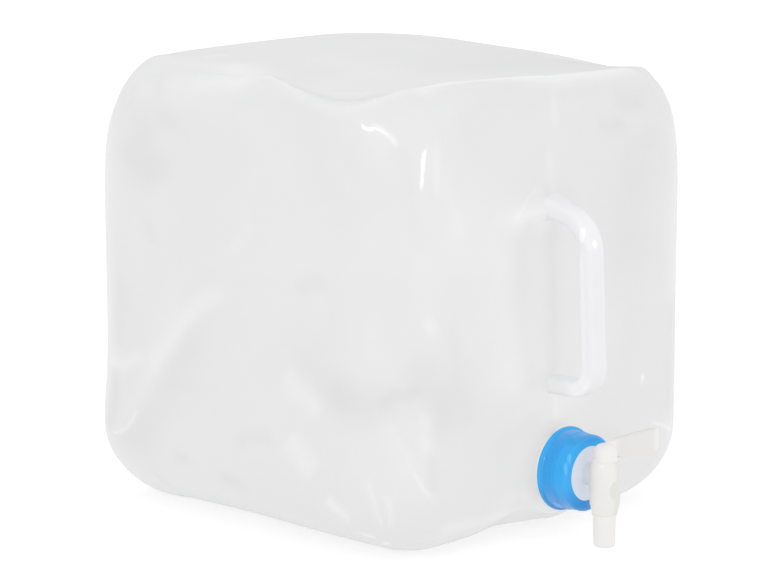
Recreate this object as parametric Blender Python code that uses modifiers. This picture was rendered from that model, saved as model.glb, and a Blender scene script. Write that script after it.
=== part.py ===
# Fold-flat cube water carrier with a grip on its front face, a screwed ring cap and a lever tap
# Metres, +Z up; the front face looks along -Y and the origin is the centre of the base
import math

import bmesh
import bpy
from mathutils import Vector

# Wall of the carrier
BAG_WIDTH = 0.2698
BAG_DEPTH = 0.268
BAG_HEIGHT = 0.270
WALL = 0.0010
UPRIGHT_RADIUS = 0.045
TOP_SPREAD = 0.057
TOP_SPREAD_REACH = 0.071
BASE_SPREAD = 0.013
BASE_SPREAD_REACH = 0.055
TOP_EDGE_NEAR = 0.0138
TOP_EDGE_FAR = 0.022
BASE_EDGE_FRONT = 0.041
BASE_EDGE_LEFT = 0.0535
BASE_EDGE_RIGHT = 0.0525
BASE_EDGE_BACK = 0.028
SAG_REACH = 0.102
SAG_CENTRE = -0.50
TOP_SAG_RIGHT = 0.008
TOP_SAG_LEFT = 0.0034
TOP_SAG_BACK = 0.001
SIDE_CORNER_DROP = 0.0026
BACK_CORNER_DROP = 0.0002
FOLD_PLANE = 0.115
GRID = 12
BASE_ROWS = 4
TOP_ROWS = 3

# Clearances between neighbours
GAP = 0.0003
RUNNING_GAP = 0.0003
EDGE_BREAK = 0.0004
OVERRUN = 0.010

# Neck and its thread, measured outwards from the front face
NECK_HEIGHT = 0.041
NECK_ROOT = 0.0193
NECK_BORE = 0.0172
BOSS_RADIUS = 0.0292
BOSS_RISE = 0.0022
BOSS_WALL = 0.0015
BOSS_DEPTH = 0.030
THREAD_PITCH = 0.004
THREAD_TURNS = 2
THREAD_RADIUS = 0.0008
THREAD_START = 0.0070

# Ring cap
CAP_BACK = 0.0053
CAP_FRONT = 0.0244
CAP_LIP = 0.0016
CAP_FLANGE_RADIUS = 0.0240
CAP_FLANGE = 0.0022
CAP_DRUM_RADIUS = 0.0223
CAP_DRUM_END = 0.0150
CAP_NOSE_RADIUS = 0.0218
CAP_BORE = 0.0207
CAP_MOUTH = 0.0155
CAP_ROUND = 0.0020
RIB_COUNT = 12
RIB_WIDTH = 0.0011
RIB_HEIGHT = 0.0005

# Tap
FLANGE_RADIUS = 0.0195
FLANGE = 0.0020
GASKET = 0.0015
GASKET_BORE = 0.0165
TAP_REACH = 0.0357
BARREL_RADIUS = 0.0078
BARREL_BORE = 0.0042
SLEEVE_RADIUS = 0.0092
SLEEVE_BOTTOM = 0.0203
SLEEVE_TOP = 0.0510
SLEEVE_BORE = 0.0069
SLEEVE_CHAMFER = 0.0009
SLEEVE_WAIST = 0.0004
BARREL_FILLET = 0.0008

# Plug, lever and spout, which turn as one piece
PLUG_RADIUS = SLEEVE_BORE - RUNNING_GAP
PLUG_BORE = 0.0038
PORT_RADIUS = 0.0036
SPOUT_RADIUS = 0.00625
SPOUT_TIP = 0.0015
SPOUT_CHAMFER = 0.0012
BEAD_RADIUS = 0.0076
BEAD_HEIGHT = 0.0034
BEAD_LAND = 0.0008
SHOULDER_RADIUS = 0.0086
SHOULDER = 0.0013
SHOULDER_ROUND = 0.0006
HUB_RADIUS = 0.0056
HUB_TOP = 0.0606
HUB_DOME = 0.0042
RING_SECTION = 0.00066
GROOVE_HEIGHTS = (0.0482, 0.0300)
LEVER_LENGTH = 0.0470
LEVER_THICKNESS = 0.0036
LEVER_TOP = 0.0618
LEVER_TIP_LOW = 0.0487
LEVER_STEP = 0.0014
LEVER_ROOT_DROP = 0.0012
LEVER_CORNER = 0.0008

# Grip
GRIP_RADIUS = 0.0072
GRIP_WALL = 0.0014
GRIP_STANDOFF = 0.0290
GRIP_BOTTOM = 0.0925
GRIP_TOP = 0.1940
GRIP_SIDE_BOTTOM = -0.0025
GRIP_SIDE_TOP = -0.0080
GRIP_BEND = 0.012
GRIP_SHOULDER_OUT = 0.0200
GRIP_SHOULDER_DROP = 0.0045
GRIP_FLARE = 3.4
GRIP_RUN_IN = 0.004
GRIP_HOLLOW_RUN_IN = 0.012

FRONT = -BAG_DEPTH / 2
OUT_OF_FRONT = (math.pi / 2, 0, 0)


def clear_scene():
    for thing in list(bpy.data.objects):
        bpy.data.objects.remove(thing, do_unlink=True)


clear_scene()
parts = bpy.data.collections.new("water_carrier")
cutters = bpy.data.collections.new("cutters")
bpy.context.scene.collection.children.link(parts)
bpy.context.scene.collection.children.link(cutters)


def material(name, colour, roughness, metallic=0.0):
    made = bpy.data.materials.new(name)
    made.use_nodes = True
    shader = made.node_tree.nodes["Principled BSDF"]
    shader.inputs["Base Color"].default_value = (*colour, 1)
    shader.inputs["Roughness"].default_value = roughness
    shader.inputs["Metallic"].default_value = metallic
    return made


milky = material("milky_polyethylene", (0.81, 0.81, 0.82), 0.32)
grip_white = material("grip_white", (0.88, 0.88, 0.90), 0.28)
neck_white = material("neck_white", (0.80, 0.80, 0.82), 0.35)
cap_blue = material("cap_blue", (0.08, 0.43, 0.84), 0.25)
tap_white = material("tap_white", (0.84, 0.84, 0.82), 0.30)
lever_white = material("lever_white", (0.86, 0.85, 0.83), 0.30)
seal_grey = material("seal_grey", (0.62, 0.64, 0.68), 0.60)
ring_black = material("ring_black", (0.03, 0.03, 0.03), 0.55)


def add_object(name, mesh, skin=None):
    thing = bpy.data.objects.new(name, mesh)
    if skin is None:
        cutters.objects.link(thing)
        thing.hide_render = True
        thing.display_type = "WIRE"
    else:
        parts.objects.link(thing)
        mesh.materials.clear()
        mesh.materials.append(skin)
    return thing


def smooth(mesh, degrees=35):
    mesh.shade_smooth()
    mesh.set_sharp_from_angle(angle=math.radians(degrees))


# A profile of (radius, height) pairs, turned about its own Z axis
def turned(name, profile, skin=None, steps=48, closed=True):
    mesh = bpy.data.meshes.new(name)
    count = len(profile)
    edges = [(i, (i + 1) % count) for i in range(count if closed else count - 1)]
    mesh.from_pydata([(r, 0, z) for r, z in profile], edges, [])
    thing = add_object(name, mesh, skin)
    screw = thing.modifiers.new("Turn", "SCREW")
    screw.steps = steps
    screw.render_steps = steps
    screw.use_merge_vertices = True
    screw.merge_threshold = 0.00001
    screw.use_smooth_shade = True
    return thing


def box(name, low, high):
    low, high = Vector(low), Vector(high)
    shape = bmesh.new()
    bmesh.ops.create_cube(shape, size=1)
    bmesh.ops.scale(shape, vec=high - low, verts=shape.verts)
    bmesh.ops.translate(shape, vec=(low + high) / 2, verts=shape.verts)
    mesh = bpy.data.meshes.new(name)
    shape.to_mesh(mesh)
    shape.free()
    return add_object(name, mesh)


def rod(name, radius, low, high, steps=32):
    shape = bmesh.new()
    bmesh.ops.create_cone(
        shape, cap_ends=True, segments=steps, radius1=radius, radius2=radius, depth=high - low)
    bmesh.ops.translate(shape, vec=(0, 0, (low + high) / 2), verts=shape.verts)
    mesh = bpy.data.meshes.new(name)
    shape.to_mesh(mesh)
    shape.free()
    return add_object(name, mesh)


def combine(thing, other, operation):
    step = thing.modifiers.new(other.name, "BOOLEAN")
    step.operation = operation
    step.object = other
    return step


# A tube along a line of points, made a closed mesh
def tube(name, points, radius, skin=None, sides=1):
    curve = bpy.data.curves.new(name, "CURVE")
    curve.dimensions = "3D"
    curve.bevel_depth = radius
    curve.bevel_resolution = sides
    curve.use_fill_caps = True
    spline = curve.splines.new("POLY")
    spline.points.add(len(points) - 1)
    for i, point in enumerate(points):
        spline.points[i].co = (*point, 1)
    return to_mesh(name, curve, skin)


def to_mesh(name, curve, skin=None):
    drawn = bpy.data.objects.new(name + "_line", curve)
    cutters.objects.link(drawn)
    bpy.context.view_layer.update()
    mesh = bpy.data.meshes.new_from_object(drawn.evaluated_get(bpy.context.evaluated_depsgraph_get()))
    shape = bmesh.new()
    shape.from_mesh(mesh)
    bmesh.ops.remove_doubles(shape, verts=shape.verts, dist=0.00001)
    bmesh.ops.recalc_face_normals(shape, faces=shape.faces)
    shape.to_mesh(mesh)
    shape.free()
    mesh.name = name
    thing = add_object(name, mesh, skin)
    thing.matrix_world = drawn.matrix_world.copy()
    bpy.data.objects.remove(drawn)
    return thing


# A right-hand thread ridge: a tube on a helix
def ridge(name, radius, start):
    turn_points = 24
    points = []
    for i in range(THREAD_TURNS * turn_points + 1):
        angle = 2 * math.pi * i / turn_points
        height = start + THREAD_PITCH * i / turn_points
        points.append((radius * math.cos(angle), radius * math.sin(angle), height))
    return tube(name, points, THREAD_RADIUS, sides=1)


# Skin of the carrier: a cube's grid laid on a rounded box

def side_offset(index, half_along, half_across, corner):
    # Position along one side, its depth and its normal, for index 0 at the middle and GRID / 2 at the corner
    flat = GRID / 4
    if index <= flat:
        return index / flat * (half_along - corner), half_across, 0.0
    turn = (index - flat) / (GRID / 2 - flat) * math.pi / 4
    along = half_along - corner + corner * math.sin(turn)
    across = half_across - corner + corner * math.cos(turn)
    return along, across, turn


def outline_point(u, v, corner, inset):
    half_width = BAG_WIDTH / 2
    half_depth = BAG_DEPTH / 2
    index = min(abs(u), abs(v)) * GRID / 2
    if abs(u) >= abs(v):
        along, across, turn = side_offset(index, half_depth, half_width, corner)
        normal = Vector((math.copysign(math.cos(turn), u), math.copysign(math.sin(turn), v)))
        point = Vector((math.copysign(across, u), math.copysign(along, v)))
    else:
        along, across, turn = side_offset(index, half_width, half_depth, corner)
        normal = Vector((math.copysign(math.sin(turn), u), math.copysign(math.cos(turn), v)))
        point = Vector((math.copysign(along, u), math.copysign(across, v)))
    return point - normal * inset, normal


def skin_point(u, v, w):
    reach = max(abs(u), abs(v))
    row = (w + 1) / 2 * GRID
    scale = 1.0
    if reach < 0.999:
        scale = reach
        if reach < 0.001:
            u, v = 1.0, 0.0
        else:
            u, v = u / reach, v / reach
    normal = outline_point(u, v, UPRIGHT_RADIUS, 0)[1]
    left = max(-normal.x, 0) ** 2
    right = max(normal.x, 0) ** 2
    back = max(normal.y, 0) ** 2
    far = right + back
    front = 1 - left - far
    base_edge = BASE_EDGE_FRONT * front + BASE_EDGE_LEFT * left + BASE_EDGE_RIGHT * right + BASE_EDGE_BACK * back
    top_edge = TOP_EDGE_NEAR + (TOP_EDGE_FAR - TOP_EDGE_NEAR) * far
    if row <= BASE_ROWS:
        turn = row / BASE_ROWS * math.pi / 2
        height = base_edge * (1 - math.cos(turn))
        inset = base_edge * (1 - math.sin(turn))
    elif row >= GRID - TOP_ROWS:
        turn = (row - GRID + TOP_ROWS) / TOP_ROWS * math.pi / 2
        height = BAG_HEIGHT - top_edge * (1 - math.sin(turn))
        inset = top_edge * (1 - math.cos(turn))
    else:
        share = (row - BASE_ROWS) / (GRID - TOP_ROWS - BASE_ROWS)
        height = base_edge + share * (BAG_HEIGHT - top_edge - base_edge)
        inset = 0.0
    top_share = max(0, 1 - (BAG_HEIGHT - height) / TOP_SPREAD_REACH) * 0.96
    base_share = max(0, 1 - height / BASE_SPREAD_REACH)
    corner = UPRIGHT_RADIUS + TOP_SPREAD * (1 - math.sqrt(1 - top_share ** 2)) + BASE_SPREAD * base_share ** 2
    point = outline_point(u, v, corner, inset)[0] * scale
    rise = max(0, (height - BAG_HEIGHT + SAG_REACH) / SAG_REACH) ** 2
    across = point.x / (BAG_WIDTH / 2)
    along = point.y / (BAG_DEPTH / 2)
    middle = max(0, 1 - ((along - SAG_CENTRE) / (1 + abs(SAG_CENTRE))) ** 2)
    sag = rise * (TOP_SAG_RIGHT * max(0, across) + TOP_SAG_LEFT * max(0, -across)) * middle
    sag += rise * TOP_SAG_BACK * max(0, along) * max(0, 1 - across ** 2)
    side_corner = max(0, -across * along) ** 2
    back_corner = max(0, across) ** 2 * max(0, along) ** 2
    drop = rise * (SIDE_CORNER_DROP * side_corner + BACK_CORNER_DROP * back_corner)
    return Vector((point.x, point.y, height - sag - drop))


def skin_mesh(name):
    shape = bmesh.new()
    bmesh.ops.create_cube(shape, size=2)
    bmesh.ops.subdivide_edges(shape, edges=shape.edges, cuts=GRID - 1, use_grid_fill=True)
    for vertex in shape.verts:
        vertex.co = skin_point(*vertex.co)
    bmesh.ops.recalc_face_normals(shape, faces=shape.faces)
    mesh = bpy.data.meshes.new(name)
    shape.to_mesh(mesh)
    shape.free()
    smooth(mesh, 60)
    return mesh


def hollow_skin(name, skin):
    thing = add_object(name, skin_mesh(name), skin)
    shell = thing.modifiers.new("Wall", "SOLIDIFY")
    shell.thickness = WALL
    shell.offset = -1
    shell.use_even_offset = True
    return thing


half = BAG_WIDTH
front_side = box("front_side", (-half, -half, -half), (half, -FOLD_PLANE - GAP / 2, half * 2))
middle = box("middle", (-half, -FOLD_PLANE + GAP / 2, -half), (half, FOLD_PLANE - GAP / 2, half * 2))
back_side = box("back_side", (-half, FOLD_PLANE + GAP / 2, -half), (half, half, half * 2))

front_wall = hollow_skin("front_wall", milky)
combine(front_wall, front_side, "INTERSECT")
side_walls = hollow_skin("side_walls", milky)
combine(side_walls, middle, "INTERSECT")
back_wall = hollow_skin("back_wall", milky)
combine(back_wall, back_side, "INTERSECT")

# Space that the water fills, which trims what passes through the front wall
water_space = add_object("water_space", skin_mesh("water_space"))
shrink = water_space.modifiers.new("Inner face", "DISPLACE")
shrink.direction = "NORMAL"
shrink.mid_level = 0
shrink.strength = -WALL

# Neck: a turned boss and spigot with a raised right-hand thread
neck_place = (0, FRONT, NECK_HEIGHT)
neck_end = CAP_FRONT - CAP_LIP - GAP - FLANGE - GAP - GASKET - GAP
neck_profile = [
    (NECK_BORE, neck_end),
    (NECK_ROOT, neck_end),
    (NECK_ROOT, BOSS_RISE),
    (BOSS_RADIUS - BOSS_WALL, BOSS_RISE),
    (BOSS_RADIUS, BOSS_RISE - BOSS_WALL),
    (BOSS_RADIUS, -BOSS_DEPTH),
    (BOSS_RADIUS - BOSS_WALL, -BOSS_DEPTH),
    (BOSS_RADIUS - BOSS_WALL, BOSS_RISE - BOSS_WALL - EDGE_BREAK),
    (NECK_BORE, BOSS_RISE - BOSS_WALL - EDGE_BREAK),
]
threaded_neck = turned("threaded_neck", neck_profile, neck_white)
threaded_neck.location = neck_place
threaded_neck.rotation_euler = OUT_OF_FRONT
male_thread = ridge("male_thread", NECK_ROOT + THREAD_RADIUS * 0.25, THREAD_START)
male_thread.location = neck_place
male_thread.rotation_euler = OUT_OF_FRONT
combine(threaded_neck, water_space, "DIFFERENCE")
combine(threaded_neck, male_thread, "UNION")

neck_hole = rod("neck_hole", BOSS_RADIUS + GAP, -BOSS_DEPTH, BOSS_DEPTH, 48)
neck_hole.location = neck_place
neck_hole.rotation_euler = OUT_OF_FRONT
combine(front_wall, neck_hole, "DIFFERENCE")


# Grip: a hollow loop open to the carrier at both roots, with a wide upper root, leaning a little sideways
def grip_points(run_in):
    grip_y = FRONT - GRIP_STANDOFF
    shoulder = Vector((0, FRONT - GRIP_SHOULDER_OUT, GRIP_TOP - GRIP_SHOULDER_DROP))
    root = Vector((0, FRONT, GRIP_TOP))
    slope = (shoulder - root).normalized()
    points = [root - slope * run_in * math.sqrt(2)]
    for i in range(1, 5):
        points.append(root.lerp(shoulder, i / 4))
    corner = shoulder + slope * ((grip_y - shoulder.y) / slope.y)
    straight_top = Vector((0, grip_y, corner.z - (corner - shoulder).length))
    for i in range(1, 6):
        share = i / 5
        points.append(shoulder.lerp(corner, share).lerp(corner.lerp(straight_top, share), share))
    straight_bottom = GRIP_BOTTOM + GRIP_BEND
    for i in range(1, 4):
        points.append(Vector((0, grip_y, straight_top.z + (straight_bottom - straight_top.z) * i / 4)))
    for i in range(7):
        angle = i / 6 * math.pi / 2
        y = grip_y + GRIP_BEND * (1 - math.cos(angle))
        z = GRIP_BOTTOM + GRIP_BEND * (1 - math.sin(angle))
        points.append(Vector((0, y, z)))
    points.append(Vector((0, FRONT + run_in, GRIP_BOTTOM)))
    for point in points:
        share = (point.z - GRIP_BOTTOM) / (GRIP_TOP - GRIP_BOTTOM)
        point.x = GRIP_SIDE_BOTTOM + (GRIP_SIDE_TOP - GRIP_SIDE_BOTTOM) * share
    return points


def spread_root(mesh):
    for vertex in mesh.vertices:
        near = 1 - (FRONT - vertex.co.y) / GRIP_SHOULDER_OUT
        if near > 0 and vertex.co.z > (GRIP_TOP + GRIP_BOTTOM) / 2:
            spread = 1 + (GRIP_FLARE - 1) * min(1, near) ** 2
            vertex.co.x = GRIP_SIDE_TOP + (vertex.co.x - GRIP_SIDE_TOP) * spread


outer_line = grip_points(GRIP_RUN_IN)
carry_handle = tube("carry_handle", outer_line, GRIP_RADIUS, grip_white, sides=3)
spread_root(carry_handle.data)
smooth(carry_handle.data, 50)
inner_line = grip_points(GRIP_HOLLOW_RUN_IN)
grip_hollow = tube("grip_hollow", inner_line, GRIP_RADIUS - GRIP_WALL, sides=3)
spread_root(grip_hollow.data)
behind_front = box("behind_front", (-half, FRONT - GAP, -half), (half, half, half * 2))
combine(carry_handle, behind_front, "DIFFERENCE")
combine(carry_handle, grip_hollow, "DIFFERENCE")
combine(front_wall, grip_hollow, "DIFFERENCE")

# Ring cap: flange, ribbed drum, rounded nose and an inner right-hand thread
cap_profile = [
    (CAP_MOUTH + EDGE_BREAK, CAP_FRONT),
    (CAP_NOSE_RADIUS - CAP_ROUND, CAP_FRONT),
]
for i in range(1, 4):
    turn = i / 3 * math.pi / 2
    radius = CAP_NOSE_RADIUS - CAP_ROUND + CAP_ROUND * math.sin(turn)
    cap_profile.append((radius, CAP_FRONT - CAP_ROUND + CAP_ROUND * math.cos(turn)))
cap_profile += [
    (CAP_NOSE_RADIUS, CAP_DRUM_END),
    (CAP_DRUM_RADIUS, CAP_DRUM_END - EDGE_BREAK),
    (CAP_DRUM_RADIUS, CAP_BACK + CAP_FLANGE + EDGE_BREAK),
    (CAP_FLANGE_RADIUS, CAP_BACK + CAP_FLANGE),
    (CAP_FLANGE_RADIUS, CAP_BACK + EDGE_BREAK),
    (CAP_FLANGE_RADIUS - EDGE_BREAK, CAP_BACK),
    (CAP_BORE, CAP_BACK),
    (CAP_BORE, CAP_FRONT - CAP_LIP),
    (CAP_MOUTH, CAP_FRONT - CAP_LIP),
    (CAP_MOUTH, CAP_FRONT - EDGE_BREAK),
]
cap_ring = turned("cap_ring", cap_profile, cap_blue)
cap_ring.location = neck_place
cap_ring.rotation_euler = OUT_OF_FRONT
female_thread = ridge("female_thread", CAP_BORE - THREAD_RADIUS * 0.15, THREAD_START + THREAD_PITCH / 2)
female_thread.location = neck_place
female_thread.rotation_euler = OUT_OF_FRONT
combine(cap_ring, female_thread, "UNION")

rib_shape = bmesh.new()
for i in range(RIB_COUNT):
    made = bmesh.ops.create_cube(rib_shape, size=1)["verts"]
    size = (RIB_HEIGHT * 2, RIB_WIDTH, CAP_DRUM_END - CAP_BACK - CAP_FLANGE)
    middle_height = (CAP_DRUM_END + CAP_BACK + CAP_FLANGE) / 2 - EDGE_BREAK
    bmesh.ops.scale(rib_shape, vec=size, verts=made)
    bmesh.ops.translate(rib_shape, vec=(CAP_DRUM_RADIUS, 0, middle_height), verts=made)
    turn = (i + 0.5) * 2 * math.pi / RIB_COUNT
    for vertex in made:
        x, y, z = vertex.co
        vertex.co = (x * math.cos(turn) - y * math.sin(turn), x * math.sin(turn) + y * math.cos(turn), z)
rib_mesh = bpy.data.meshes.new("cap_ribs")
rib_shape.to_mesh(rib_mesh)
rib_shape.free()
cap_ribs = add_object("cap_ribs", rib_mesh)
cap_ribs.location = neck_place
cap_ribs.rotation_euler = OUT_OF_FRONT
combine(cap_ring, cap_ribs, "UNION")

# Seal between the neck's end and the tap's flange
gasket_end = neck_end + GAP
gasket_profile = [
    (GASKET_BORE, gasket_end + GASKET),
    (FLANGE_RADIUS, gasket_end + GASKET),
    (FLANGE_RADIUS, gasket_end),
    (GASKET_BORE, gasket_end),
]
flange_gasket = turned("flange_gasket", gasket_profile, seal_grey)
flange_gasket.location = neck_place
flange_gasket.rotation_euler = OUT_OF_FRONT

# Tap body: flange, barrel and upright sleeve, bored through
tap_y = FRONT - TAP_REACH
flange_end = gasket_end + GASKET + GAP
tap_body = turned(
    "tap_body",
    [
        (0, TAP_REACH),
        (BARREL_RADIUS, TAP_REACH),
        (BARREL_RADIUS, flange_end + FLANGE + BARREL_FILLET),
        (BARREL_RADIUS + BARREL_FILLET, flange_end + FLANGE),
        (FLANGE_RADIUS, flange_end + FLANGE),
        (FLANGE_RADIUS, flange_end),
        (0, flange_end),
    ],
    tap_white,
    closed=False,
)
tap_body.location = neck_place
tap_body.rotation_euler = OUT_OF_FRONT
sleeve_profile = [(0, SLEEVE_TOP), (SLEEVE_RADIUS - SLEEVE_CHAMFER, SLEEVE_TOP)]
for i in range(9):
    share = i / 8
    height = SLEEVE_TOP - SLEEVE_CHAMFER + (SLEEVE_BOTTOM - SLEEVE_TOP + 2 * SLEEVE_CHAMFER) * share
    sleeve_profile.append((SLEEVE_RADIUS - SLEEVE_WAIST * (2 * share - 1) ** 2, height))
sleeve_profile += [(SLEEVE_RADIUS - SLEEVE_WAIST - SLEEVE_CHAMFER, SLEEVE_BOTTOM), (0, SLEEVE_BOTTOM)]
sleeve = turned("sleeve", sleeve_profile, None, steps=40, closed=False)
sleeve.location = (0, tap_y, 0)
combine(tap_body, sleeve, "UNION")
sleeve_bore = rod("sleeve_bore", SLEEVE_BORE, SLEEVE_BOTTOM - OVERRUN, SLEEVE_TOP + OVERRUN, 40)
sleeve_bore.location = (0, tap_y, 0)
combine(tap_body, sleeve_bore, "DIFFERENCE")
barrel_bore = rod("barrel_bore", BARREL_BORE, 0, TAP_REACH, 32)
barrel_bore.location = neck_place
barrel_bore.rotation_euler = OUT_OF_FRONT
combine(tap_body, barrel_bore, "DIFFERENCE")

# Plug: hub, two seal grooves, side port, hollow spout and lever
groove_floor = PLUG_RADIUS - 2 * RING_SECTION - RUNNING_GAP
groove_half = RING_SECTION + RUNNING_GAP
plug_profile = [(0, HUB_TOP)]
for i in range(1, 5):
    turn = i / 4 * math.pi / 2
    plug_profile.append((HUB_RADIUS * math.sin(turn), HUB_TOP - HUB_DOME * (1 - math.cos(turn))))
shoulder_base = SLEEVE_TOP + GAP
plug_profile += [
    (HUB_RADIUS, shoulder_base + SHOULDER),
    (SHOULDER_RADIUS - SHOULDER_ROUND, shoulder_base + SHOULDER),
    (SHOULDER_RADIUS, shoulder_base + SHOULDER - SHOULDER_ROUND),
    (SHOULDER_RADIUS, shoulder_base),
    (PLUG_RADIUS, shoulder_base),
]
for middle_height in GROOVE_HEIGHTS:
    plug_profile += [
        (PLUG_RADIUS, middle_height + groove_half),
        (groove_floor, middle_height + groove_half),
        (groove_floor, middle_height - groove_half),
        (PLUG_RADIUS, middle_height - groove_half),
    ]
plug_profile += [
    (PLUG_RADIUS, SLEEVE_BOTTOM - GAP),
    (BEAD_RADIUS, SLEEVE_BOTTOM - GAP),
    (BEAD_RADIUS, SLEEVE_BOTTOM - GAP - BEAD_LAND),
    (SPOUT_RADIUS, SLEEVE_BOTTOM - GAP - BEAD_HEIGHT),
    (SPOUT_RADIUS, SPOUT_TIP + SPOUT_CHAMFER),
    (SPOUT_RADIUS - SPOUT_CHAMFER, SPOUT_TIP),
    (PLUG_BORE, SPOUT_TIP),
    (PLUG_BORE, NECK_HEIGHT + PORT_RADIUS + EDGE_BREAK),
    (0, NECK_HEIGHT + PORT_RADIUS + EDGE_BREAK),
]
tap_plug = turned("tap_plug", plug_profile, lever_white, steps=40, closed=False)
tap_plug.location = (0, tap_y, 0)
port = rod("port", PORT_RADIUS, 0, SLEEVE_RADIUS * 1.5, 24)
port.location = (0, tap_y, NECK_HEIGHT)
port.rotation_euler = (0, -math.pi / 2, 0)
combine(tap_plug, port, "DIFFERENCE")

lever_curve = bpy.data.curves.new("lever", "CURVE")
lever_curve.dimensions = "2D"
lever_curve.fill_mode = "BOTH"
lever_curve.extrude = LEVER_THICKNESS / 2
lever_low = shoulder_base + SHOULDER + EDGE_BREAK
lever_outline = [
    (EDGE_BREAK, lever_low),
    (SLEEVE_RADIUS + EDGE_BREAK, lever_low),
    (SLEEVE_RADIUS + EDGE_BREAK + 2 * LEVER_STEP, lever_low - LEVER_STEP),
    (LEVER_LENGTH - LEVER_CORNER, LEVER_TIP_LOW),
    (LEVER_LENGTH, LEVER_TIP_LOW + LEVER_CORNER),
    (LEVER_LENGTH, LEVER_TOP - LEVER_CORNER),
    (LEVER_LENGTH - LEVER_CORNER, LEVER_TOP),
    (EDGE_BREAK, HUB_TOP - LEVER_ROOT_DROP),
]
spline = lever_curve.splines.new("POLY")
spline.points.add(len(lever_outline) - 1)
for i, (x, z) in enumerate(lever_outline):
    spline.points[i].co = (x, z, 0, 1)
spline.use_cyclic_u = True
lever = to_mesh("lever", lever_curve)
lever.location = (0, tap_y, 0)
lever.rotation_euler = OUT_OF_FRONT
combine(tap_plug, lever, "UNION")

# Seal rings in the plug's grooves
ring_radius = groove_floor + RUNNING_GAP + RING_SECTION
for name, middle_height in zip(("upper_o_ring", "lower_o_ring"), GROOVE_HEIGHTS):
    bpy.ops.mesh.primitive_torus_add(
        major_radius=ring_radius, minor_radius=RING_SECTION, major_segments=32, minor_segments=8,
        location=(0, tap_y, middle_height))
    ring = bpy.context.active_object
    ring.name = name
    ring.data.name = name
    ring.data.materials.append(ring_black)
    ring.data.shade_smooth()
    for collection in list(ring.users_collection):
        collection.objects.unlink(ring)
    parts.objects.link(ring)

print("Parts:", ", ".join(sorted(thing.name for thing in parts.objects)))
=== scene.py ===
# Looks of a fold-flat cube water carrier: milky blown skin, moulded grip, screwed ring cap, lever tap
import math

import bmesh
import bpy
import numpy as np
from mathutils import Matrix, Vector


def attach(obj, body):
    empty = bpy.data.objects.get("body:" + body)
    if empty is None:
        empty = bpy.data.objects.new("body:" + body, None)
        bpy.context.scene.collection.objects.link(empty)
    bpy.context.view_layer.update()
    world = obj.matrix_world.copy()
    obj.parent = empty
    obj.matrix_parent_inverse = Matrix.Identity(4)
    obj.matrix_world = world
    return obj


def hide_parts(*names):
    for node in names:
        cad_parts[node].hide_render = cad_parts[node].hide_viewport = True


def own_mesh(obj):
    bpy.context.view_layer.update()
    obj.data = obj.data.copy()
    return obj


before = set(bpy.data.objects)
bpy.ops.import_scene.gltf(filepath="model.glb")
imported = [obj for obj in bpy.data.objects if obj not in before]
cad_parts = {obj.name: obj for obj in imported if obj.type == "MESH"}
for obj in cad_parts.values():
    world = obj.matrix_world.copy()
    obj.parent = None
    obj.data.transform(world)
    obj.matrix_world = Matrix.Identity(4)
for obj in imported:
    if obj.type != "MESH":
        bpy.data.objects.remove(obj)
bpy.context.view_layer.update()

print("Frame loaded:", len(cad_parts), "nodes")


# ---- working helpers

weldGap = 0.000005
hairline = 0.0001

def tone(red, green, blue):
    # a colour as a picture gives it, 0 to 255, made linear
    return tuple(((c / 255 + 0.055) / 1.055) ** 2.4 if c > 10 else c / 3294.6 for c in (red, green, blue))


def pick(*things):
    bpy.ops.object.select_all(action="DESELECT")
    for thing in things:
        thing.select_set(True)
    if things:
        bpy.context.view_layer.objects.active = things[-1]


def setDown(thing):
    # leaves the place in the mesh and the object at the origin
    pick(thing)
    bpy.ops.object.transform_apply(location=True, rotation=True, scale=True)
    return thing


def newest():
    return bpy.context.active_object


def merge(host, *others):
    # the host takes in the others
    pick(*others, host)
    bpy.ops.object.join()


def editAll():
    bpy.ops.object.mode_set(mode="EDIT")
    bpy.ops.mesh.select_all(action="SELECT")


def leaveEdit():
    bpy.ops.object.mode_set(mode="OBJECT")


def useModifier(thing, kind, **values):
    pick(thing)
    step = thing.modifiers.new(kind.title(), kind)
    for key, value in values.items():
        setattr(step, key, value)
    bpy.ops.object.modifier_apply(modifier=step.name)


def combine(host, other, operation):
    useModifier(host, "BOOLEAN", operation=operation, object=other, solver="EXACT")
    bpy.data.objects.remove(other)


def tidyMesh(thing, degrees=38):
    # welds, turns the faces outward and shades smooth below an angle
    pick(thing)
    editAll()
    bpy.ops.mesh.remove_doubles(threshold=weldGap)
    bpy.ops.mesh.normals_make_consistent(inside=False)
    leaveEdit()
    bpy.ops.object.shade_smooth_by_angle(angle=math.radians(degrees))


def roundEdges(thing, width, segments=3, degrees=35):
    useModifier(thing, "BEVEL", width=width, segments=segments, limit_method="ANGLE",
                angle_limit=math.radians(degrees), harden_normals=False)


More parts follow.
